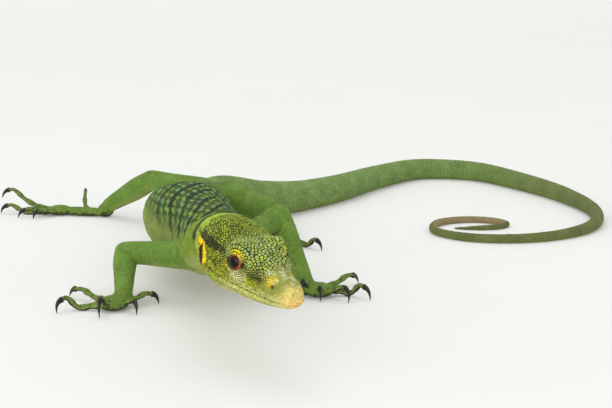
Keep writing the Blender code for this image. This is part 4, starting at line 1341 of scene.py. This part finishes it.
def tail_markings(facts):
    """The tail's colours: green, then olive, in faint broad bands, and tan inside its coil."""
    along = facts[:, ALONG]
    top = np.sin(facts[:, AROUND])
    grain = wobble(facts[:, :3], 0.35, 2.0)
    tone = blend(np.tile(TAIL_GREEN, (len(along), 1)), TAIL_OLIVE, ramp(along, 330, 520))
    bands = 0.5 + 0.5 * np.cos((along + 1.5 * grain) * 2 * math.pi / TAIL_BAND_PITCH)
    tone = tone * (0.92 + 0.14 * bands[:, None])
    tone = blend(tone, FLANK, ramp(top, -0.2, -0.8) * 0.6)
    inside = ramp(np.cos(facts[:, AROUND]) - 0.25 * top, -0.2, 0.25)
    return blend(tone, COIL_TAN, ramp(along, COIL + 8, COIL + 30) * inside * 0.85)


def limb_markings(facts):
    """The limbs' colours: a finely mottled green, lighter below, and dark bars on the digits."""
    kind, along = facts[:, KIND], facts[:, ALONG]
    top = np.sin(facts[:, AROUND])
    places = facts[:, :3]
    fine = wobble(places, 0.9, 9.0)
    coarse = wobble(places, 0.22, 4.0)
    light = 0.4 * ramp(fine, 0.2, 0.8) + 0.4 * ramp(coarse, 0, 0.6)
    tone = blend(np.tile(LIMB_GREEN, (len(along), 1)), LIMB_LIGHT, light)
    tone = blend(tone, LIMB_DARK, ramp(fine, -0.3, -0.75) * 0.45)
    tone = blend(tone, BELLY, ramp(top, -0.3, -0.9) * 0.4 * (kind == LIMB_KIND))
    digits = kind >= DIGIT_KIND
    tone = np.where(digits[:, None], blend(tone, DIGIT_GREEN, np.full(len(along), 0.7)), tone)
    creases = ramp(np.cos(along * 2 * math.pi / CREASE_PITCH), 0.7, 0.95) * (kind == DIGIT_KIND)
    tone = blend(tone, SOLE_GREY, creases * 0.7)
    tone = blend(tone, BELLY, (kind == DIGIT_KIND) * hump(top, -0.08, 0.22) * 0.6)
    under, by_floor = ramp(top + 0.15 * fine, -0.2, -0.5), ramp(places[:, 2] + 1.2 * fine, 2.2, 0.9)
    dark = np.where(kind == DIGIT_KIND, under, by_floor)
    return blend(tone, SOLE_GREY, digits * dark * 0.9)


def markings(facts, rng):
    """The colours at points of the skin, and how dark the skin between the scales is there."""
    kind, along = facts[:, KIND], facts[:, ALONG]
    tone = np.zeros((len(facts), 3))
    dark = np.full(len(facts), 0.45)
    tail = (kind == TRUNK_KIND) & (along > VENT)
    trunk = (kind == TRUNK_KIND) & ~tail
    limbs = kind != TRUNK_KIND
    tone[limbs] = limb_markings(facts[limbs])
    body = trunk_markings(facts[trunk])
    share = ramp(facts[trunk, ALONG], VENT - 12, VENT + 6)
    tone[trunk] = blend(body, TAIL_GREEN, share)
    tone[tail] = tail_markings(facts[tail])
    head = trunk & (along < NECK_AT + 6)
    if head.any():
        found, ground = head_markings(tone[head].copy(), facts[head], rng)
        share = ramp(facts[head, ALONG], NECK_AT + 4.5, NECK_AT + 2)
        tone[head] = blend(tone[head], 0, share) + found * share[:, None]
        dark[head] = 0.45 + (ground - 0.45) * share
    return tone, dark


def head_share(facts):
    """1 on the head and 0 on the rest of the body."""
    return (facts[:, KIND] == TRUNK_KIND) * ramp(facts[:, ALONG], NECK_AT + 1, NECK_AT - 1)


def finish_skin(made):
    """Gives the skin its markings, darker than the scales, and puts it in its place."""
    places = coordinates(made.data)
    facts = facts_at(places)
    tone, dark = markings(facts, np.random.default_rng(SEED))
    ground = tone * (1 - 0.62 * dark[:, None])
    ground = blend(ground, HEAD_GROUND, head_share(facts) * ramp(dark, 0.5, 0.9) * 0.85)
    add_colours(made.data, ground)
    put_in_place(made.data)


def coat_names(facts):
    """Which piece of the coat each scale belongs to."""
    number, kind, along, angle = (facts[:, column] for column in (FORM_NUMBER, KIND, ALONG, AROUND))
    left = np.cos(angle) > 0
    names = np.empty(len(facts), object)
    trunk = kind == TRUNK_KIND
    for (name, start), (_, end) in zip(TRUNK_PIECES, TRUNK_PIECES[1:] + (("", math.inf),)):
        within = trunk & (along >= start) & (along < end)
        names[within & left] = name + "_left"
        names[within & ~left] = name + "_right"
    for i, name in enumerate([form.name for form in FORMS[1:]] + list(SOLES), 1):
        limb = "arm" if "arm" in name or "hand" in name else "leg"
        names[number == i] = f"coat_{limb}_" + ("right" if "right" in name else "left")
    return names


def build_coat(skin_mesh, sites):
    """All of the scales, in pieces by part of the body."""
    facts = facts_at(sites)
    tree = tree_of(coordinates(skin_mesh))
    skin_normals = normals_of(skin_mesh)
    near = np.array([[hit[1] for hit in tree.find_n(point, 4)] for point in sites.tolist()])
    normals = skin_normals[near].sum(axis=1)
    normals /= np.linalg.norm(normals, axis=1)[:, None]
    along, across = side_axes(normals, facts[:, LIE])
    widths = spacing_at(facts)
    rng = np.random.default_rng(SEED)
    tone, _ = markings(facts, rng)
    head = head_share(facts) > 0.5
    uneven = np.where(head, 0.12 * ramp(in_head(sites)[:, 0], 8, 16) + 0.09, 0.09)
    tone = tone * (1 + uneven * rng.standard_normal(len(sites)))[:, None].clip(0.5, 1.5)
    tail = (facts[:, KIND] == TRUNK_KIND) & (facts[:, ALONG] > VENT)
    heights = np.where(head, HEAD_RISE, BODY_RISE) * widths * (0.8 + 0.4 * rng.random(len(sites)))
    heights = np.where(head, np.maximum(heights, LEAST_HEAD_RISE), heights)
    keels = np.where(tail, TAIL_KEEL, 0.0)
    back, _, up = in_head(sites).T
    smooth = head * ramp(back, 16, 11)
    heights *= 1 - 0.5 * smooth
    gaps = BODY_GAP + (CROWN_GAP - BODY_GAP) * head * (0.35 + 0.65 * ramp(up, -4, 2)) * (1 - smooth)
    names = coat_names(facts)
    pieces = []
    for of_head, sides, profile, rounding, root_shade in (
        (True, HEAD_SIDES, HEAD_PROFILE, HEAD_ROUNDING, HEAD_SHADE),
        (False, BODY_SIDES, BODY_PROFILE, BODY_ROUNDING, BODY_SHADE),
    ):
        reaches = outlines(sites, along, across, widths, gaps, sides, rounding)
        places = scale_vertices(sites, normals, along, across, reaches, heights, profile, keels)
        for name in sorted(set(names[head == of_head])):
            own = names == name
            rings = len(profile)
            pieces.append(joined_scales(name, places[own], facts[own], tone[own], sides, rings, root_shade))
    return pieces


def eye_piece(name, side):
    """An eyeball whose pole looks ahead, with its cornea, and how far each point lies from the gaze."""
    look = look_of(side)
    bm = bmesh.new()
    bmesh.ops.create_uvsphere(bm, u_segments=96, v_segments=72, radius=EYE_RADIUS)
    for vert in bm.verts:
        angle = vert.co.angle(Vector((0, 0, 1)))
        vert.co *= 1 + CORNEA_RISE * math.exp(-((angle / CORNEA_WIDE) ** 2))
    turn = Vector((0, 0, 1)).rotation_difference(Vector(look)).to_matrix().to_4x4()
    bmesh.ops.transform(bm, matrix=Matrix.Translation(eye_place(side)) @ turn, verts=bm.verts)
    mesh = mesh_from(bm, name)
    ray = coordinates(mesh) - eye_place(side)
    angles = np.arccos(np.clip(ray @ look / np.linalg.norm(ray, axis=1), -1, 1))
    add_numbers(mesh, "gaze", angles)
    put_in_place(mesh)
    return linked(name, mesh)


def claw_rings(points, tip):
    """A hooked claw's rings, from inside its digit's end over and down to its point."""
    track = digit_track(points)
    ahead = track.tangents([track.length])[0]
    start = np.array(points[-1]) - ahead * CLAW_ROOT
    tip = np.array(tip)
    reach = np.linalg.norm(tip - start)
    crown = start + ahead * CLAW_CROWN * reach
    rows = []
    for share in np.linspace(0, 1, CLAW_RINGS):
        place = start * (1 - share) ** 2 + crown * 2 * share * (1 - share) + tip * share**2
        radius = CLAW_RADIUS * (1 - share) ** CLAW_TAPER + CLAW_TIP * (0.4 + 0.6 * (1 - share))
        rows.append((*place, radius * CLAW_SLIM, radius, radius, 2.0, 0.0))
    hook = Track(rows)
    distances = np.linspace(0, hook.length, CLAW_RINGS)
    across = unit(np.cross(ahead, tip - start))
    angles = np.arange(CLAW_SIDES) * 2 * math.pi / CLAW_SIDES
    found = []
    for row, tangent in zip(hook.read(distances), hook.tangents(distances)):
        up = unit(np.cross(across, tangent))
        out, height = section(row, angles, 0.0)
        points = row[:3] + np.outer(out, across) + np.outer(height, up)
        points[:, 2] = np.maximum(points[:, 2], LOWEST_SCALE)
        found.append(points)
    return found


def claw_piece(sole):
    """The five claws of a hand or foot as one piece."""
    bm = bmesh.new()
    for points in DIGITS[sole]:
        mesh = loft_mesh(claw_rings(points[:-1], points[-1]))
        bm.from_mesh(mesh)
        bpy.data.meshes.remove(mesh)
    mesh = mesh_from(bm, f"claws_{sole}")
    put_in_place(mesh)
    return linked(f"claws_{sole}", mesh)


def new_group(name, inputs, outputs):
    """A shader node group with its sockets, and its input and output nodes."""
    group = bpy.data.node_groups.new(name, "ShaderNodeTree")
    for label, kind in inputs:
        group.interface.new_socket(label, in_out="INPUT", socket_type=kind)
    for label, kind in outputs:
        group.interface.new_socket(label, in_out="OUTPUT", socket_type=kind)
    return group, group.nodes.new("NodeGroupInput"), group.nodes.new("NodeGroupOutput")


def new_node(nodes, kind, values=None, operation=None):
    """A shader node with its values by the names of its sockets."""
    made = nodes.new(kind)
    if operation:
        made.operation = operation
    for label, value in (values or {}).items():
        made.inputs[label].default_value = value
    return made


def object_noise(nodes, links, scale, detail):
    """Noise that stays with the piece, on its Object coordinates."""
    coords = nodes.new("ShaderNodeTexCoord")
    made = new_node(nodes, "ShaderNodeTexNoise", {"Scale": scale, "Detail": detail})
    links.new(coords.outputs["Object"], made.inputs["Vector"])
    return made


def attribute_node(nodes, name):
    """A node that reads one of the mesh's attributes."""
    made = nodes.new("ShaderNodeAttribute")
    made.attribute_name = name
    return made


def group_node(nodes, tree):
    """A node that places a shader node group in a material."""
    made = nodes.new("ShaderNodeGroup")
    made.node_tree = tree
    return made


def skin_tone_group():
    """Uneven pigment over the markings: finer and coarser noise lightens and darkens them a little."""
    sockets = [("Markings", "NodeSocketColor")], [("Color", "NodeSocketColor")]
    group, start, end = new_group("Uneven pigment", *sockets)
    nodes, links = group.nodes, group.links
    fine = object_noise(nodes, links, 2600, 3)
    broad = object_noise(nodes, links, 160, 4)
    total = new_node(nodes, "ShaderNodeMath", operation="ADD")
    limits = {"From Min": 0.6, "From Max": 1.4, "To Min": 0.78, "To Max": 1.24}
    lighten = new_node(nodes, "ShaderNodeMapRange", limits)
    scaled = new_node(nodes, "ShaderNodeVectorMath", operation="SCALE")
    links.new(fine.outputs["Fac"], total.inputs[0])
    links.new(broad.outputs["Fac"], total.inputs[1])
    links.new(total.outputs[0], lighten.inputs["Value"])
    links.new(start.outputs["Markings"], scaled.inputs[0])
    links.new(lighten.outputs["Result"], scaled.inputs["Scale"])
    links.new(scaled.outputs["Vector"], end.inputs["Color"])
    return group


def grain_group():
    """The fine grain of horny skin, as a normal and a mask for its gloss."""
    outputs = [("Normal", "NodeSocketVector"), ("Gloss", "NodeSocketFloat")]
    group, _, end = new_group("Horny grain", [], outputs)
    nodes, links = group.nodes, group.links
    grain = object_noise(nodes, links, 5200, 3)
    bump = new_node(nodes, "ShaderNodeBump", {"Strength": 0.25, "Distance": 0.00006})
    gloss = new_node(nodes, "ShaderNodeMapRange", {"To Min": 0.42, "To Max": 0.66})
    links.new(grain.outputs["Fac"], bump.inputs["Height"])
    links.new(grain.outputs["Fac"], gloss.inputs["Value"])
    links.new(bump.outputs["Normal"], end.inputs["Normal"])
    links.new(gloss.outputs["Result"], end.inputs["Gloss"])
    return group


def new_material(name):
    """A material with its Principled shader, ready for its nodes."""
    made = bpy.data.materials.new(name)
    made.use_nodes = True
    return made, made.node_tree.nodes, made.node_tree.links, made.node_tree.nodes["Principled BSDF"]


def hide_material(name, tone_group, grain, by_crown):
    """Skin or scales: the markings with uneven pigment and fine grain. A scale is darker round its root."""
    made, nodes, links, shader = new_material(name)
    marks = attribute_node(nodes, "Markings")
    pigment = group_node(nodes, tone_group)
    links.new(marks.outputs["Color"], pigment.inputs["Markings"])
    final = pigment.outputs["Color"]
    if by_crown:
        crown = attribute_node(nodes, "crown")
        shade = new_node(nodes, "ShaderNodeMapRange", {"To Min": 0.12})
        scaled = new_node(nodes, "ShaderNodeVectorMath", operation="SCALE")
        links.new(crown.outputs["Fac"], shade.inputs["Value"])
        links.new(final, scaled.inputs[0])
        links.new(shade.outputs["Result"], scaled.inputs["Scale"])
        final = scaled.outputs["Vector"]
    links.new(final, shader.inputs["Base Color"])
    texture = group_node(nodes, grain)
    links.new(texture.outputs["Normal"], shader.inputs["Normal"])
    links.new(texture.outputs["Gloss"], shader.inputs["Roughness"])
    shader.inputs["Specular IOR Level"].default_value = 0.15
    return made


def eye_material():
    """A black pupil, a red-brown iris with an orange rim, and the dark rest of the eyeball, all wet."""
    made, nodes, links, shader = new_material("eye")
    gaze = attribute_node(nodes, "gaze")
    streaks = object_noise(nodes, links, 1500, 4)
    uneven = new_node(nodes, "ShaderNodeMath", {1: 0.09}, "MULTIPLY_ADD")
    ramp_node = nodes.new("ShaderNodeValToRGB")
    stops = ramp_node.color_ramp
    for position, (at, tone) in enumerate(EYE_RINGS):
        stop = stops.elements[position] if position < 2 else stops.elements.new(at)
        stop.position = at
        stop.color = (*tone, 1)
    links.new(streaks.outputs["Fac"], uneven.inputs[0])
    links.new(gaze.outputs["Fac"], uneven.inputs[2])
    links.new(uneven.outputs[0], ramp_node.inputs["Fac"])
    links.new(ramp_node.outputs["Color"], shader.inputs["Base Color"])
    shader.inputs["Roughness"].default_value = 0.35
    shader.inputs["Specular IOR Level"].default_value = 0.05
    shader.inputs["Coat Weight"].default_value = 0.22
    shader.inputs["Coat Roughness"].default_value = 0.03
    return made


def claw_material():
    """Dark horn, mottled with a lighter brown, with a fine grain."""
    made, nodes, links, shader = new_material("claw_horn")
    grain = object_noise(nodes, links, 900, 5)
    horn = nodes.new("ShaderNodeValToRGB")
    horn.color_ramp.elements[0].position = 0.35
    horn.color_ramp.elements[0].color = (*colour(14, 11, 10), 1)
    horn.color_ramp.elements[1].position = 0.75
    horn.color_ramp.elements[1].color = (*colour(54, 44, 38), 1)
    bump = new_node(nodes, "ShaderNodeBump", {"Strength": 0.2, "Distance": 0.00005})
    links.new(grain.outputs["Fac"], horn.inputs["Fac"])
    links.new(horn.outputs["Color"], shader.inputs["Base Color"])
    links.new(grain.outputs["Fac"], bump.inputs["Height"])
    links.new(bump.outputs["Normal"], shader.inputs["Normal"])
    shader.inputs["Roughness"].default_value = 0.38
    shader.inputs["Specular IOR Level"].default_value = 0.3
    return made


def studio_floor():
    """A wide pale sweep with the faintest unevenness, which gives a little light of its own."""
    bm = bmesh.new()
    bmesh.ops.create_grid(bm, x_segments=2, y_segments=96, size=4.0)
    for vert in bm.verts:
        beyond = vert.co.y - SWEEP_FROM
        if beyond > 0:
            turn = min(beyond / SWEEP_RADIUS, math.pi / 2)
            rest = beyond - turn * SWEEP_RADIUS
            vert.co.y = SWEEP_FROM + SWEEP_RADIUS * math.sin(turn)
            vert.co.z = SWEEP_RADIUS * (1 - math.cos(turn)) + rest
    mesh = mesh_from(bm, "floor")
    mesh.shade_smooth()
    floor = linked("floor", mesh)
    made, nodes, links, shader = new_material("pale_floor")
    grain = object_noise(nodes, links, 12, 2)
    tint = nodes.new("ShaderNodeValToRGB")
    tint.color_ramp.elements[0].color = (0.665, 0.665, 0.66, 1)
    tint.color_ramp.elements[1].color = (0.69, 0.69, 0.685, 1)
    links.new(grain.outputs["Fac"], tint.inputs["Fac"])
    links.new(tint.outputs["Color"], shader.inputs["Base Color"])
    shader.inputs["Roughness"].default_value = 0.75
    shader.inputs["Emission Color"].default_value = (1.0, 0.985, 0.93, 1)
    shader.inputs["Emission Strength"].default_value = 0.13
    floor.data.materials.append(made)


def soft_light(name, place, aim, size, power):
    """A large square lamp."""
    lamp = bpy.data.lights.new(name, "AREA")
    lamp.size = size
    lamp.energy = power
    made = bpy.data.objects.new(name, lamp)
    made.location = place
    made.rotation_euler = (Vector(aim) - Vector(place)).to_track_quat("-Z", "Y").to_euler()
    bpy.context.scene.collection.objects.link(made)


def studio_light():
    """A soft lamp above and a little behind the animal, a low one in front, and a pale surround."""
    soft_light("key", (-0.4, 0.7, 3.0), (0, 0.2, 0), 2.4, 15)
    soft_light("fill", (-0.6, -1.4, 0.45), (0, -0.1, 0.02), 1.4, 14)
    world = bpy.data.worlds.new("pale_room")
    world.use_nodes = True
    world.node_tree.nodes["Background"].inputs["Color"].default_value = (0.93, 0.94, 0.92, 1)
    world.node_tree.nodes["Background"].inputs["Strength"].default_value = 1.0
    bpy.context.scene.world = world
    bpy.context.scene.view_settings.view_transform = "Standard"


def camera():
    """The photograph's view."""
    lens = bpy.data.cameras.new("camera")
    lens.lens, lens.sensor_width = LENS, SENSOR
    lens.clip_start, lens.clip_end = 0.01, 20
    made = bpy.data.objects.new("camera", lens)
    made.location = (np.array(CAMERA_PLACE) + SHIFT * (1, 1, 0)) * MM
    made.rotation_euler = (math.pi / 2 - CAMERA_DROP, 0, 0)
    bpy.context.scene.collection.objects.link(made)
    bpy.context.scene.camera = made


def dress():
    """Builds every piece, gives it its material, hangs it on the root, and hides the parts of the model that
    it takes the place of.
    """
    tone_group, grain = skin_tone_group(), grain_group()
    skin = plain_skin()
    refine(skin.data)
    shape_features(skin.data)
    faces = [list(face.vertices) for face in skin.data.polygons]
    surface = BVHTree.FromPolygons(coordinates(skin.data).tolist(), faces)
    coat = build_coat(skin.data, all_sites(skin.data, surface))
    finish_skin(skin)
    skin.data.materials.clear()
    skin.data.materials.append(hide_material("skin_ground", tone_group, grain, False))
    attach(skin, "root")
    flesh = ["head", "lower_jaw", "neck", "torso_front", "torso_rear", "pelvis"]
    flesh += [f"tail_{n}" for n in range(1, 9)] + [row[0] for row in LIMBS] + list(SOLES)
    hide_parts(*flesh)
    scales = hide_material("scales", tone_group, grain, True)
    for piece in coat:
        piece.data.materials.append(scales)
        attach(piece, "root")
    wet = eye_material()
    for name, side in (("eye_right", -1), ("eye_left", 1)):
        eye = eye_piece(name.replace("eye", "eyeball"), side)
        eye.data.materials.append(wet)
        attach(eye, "root")
        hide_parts(name)
    horn = claw_material()
    for sole in SOLES:
        claws = claw_piece(sole)
        claws.data.materials.append(horn)
        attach(claws, "root")
        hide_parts(*[f"claw_{sole}_{n}" for n in range(1, 6)])


dress()
studio_floor()
studio_light()
camera()
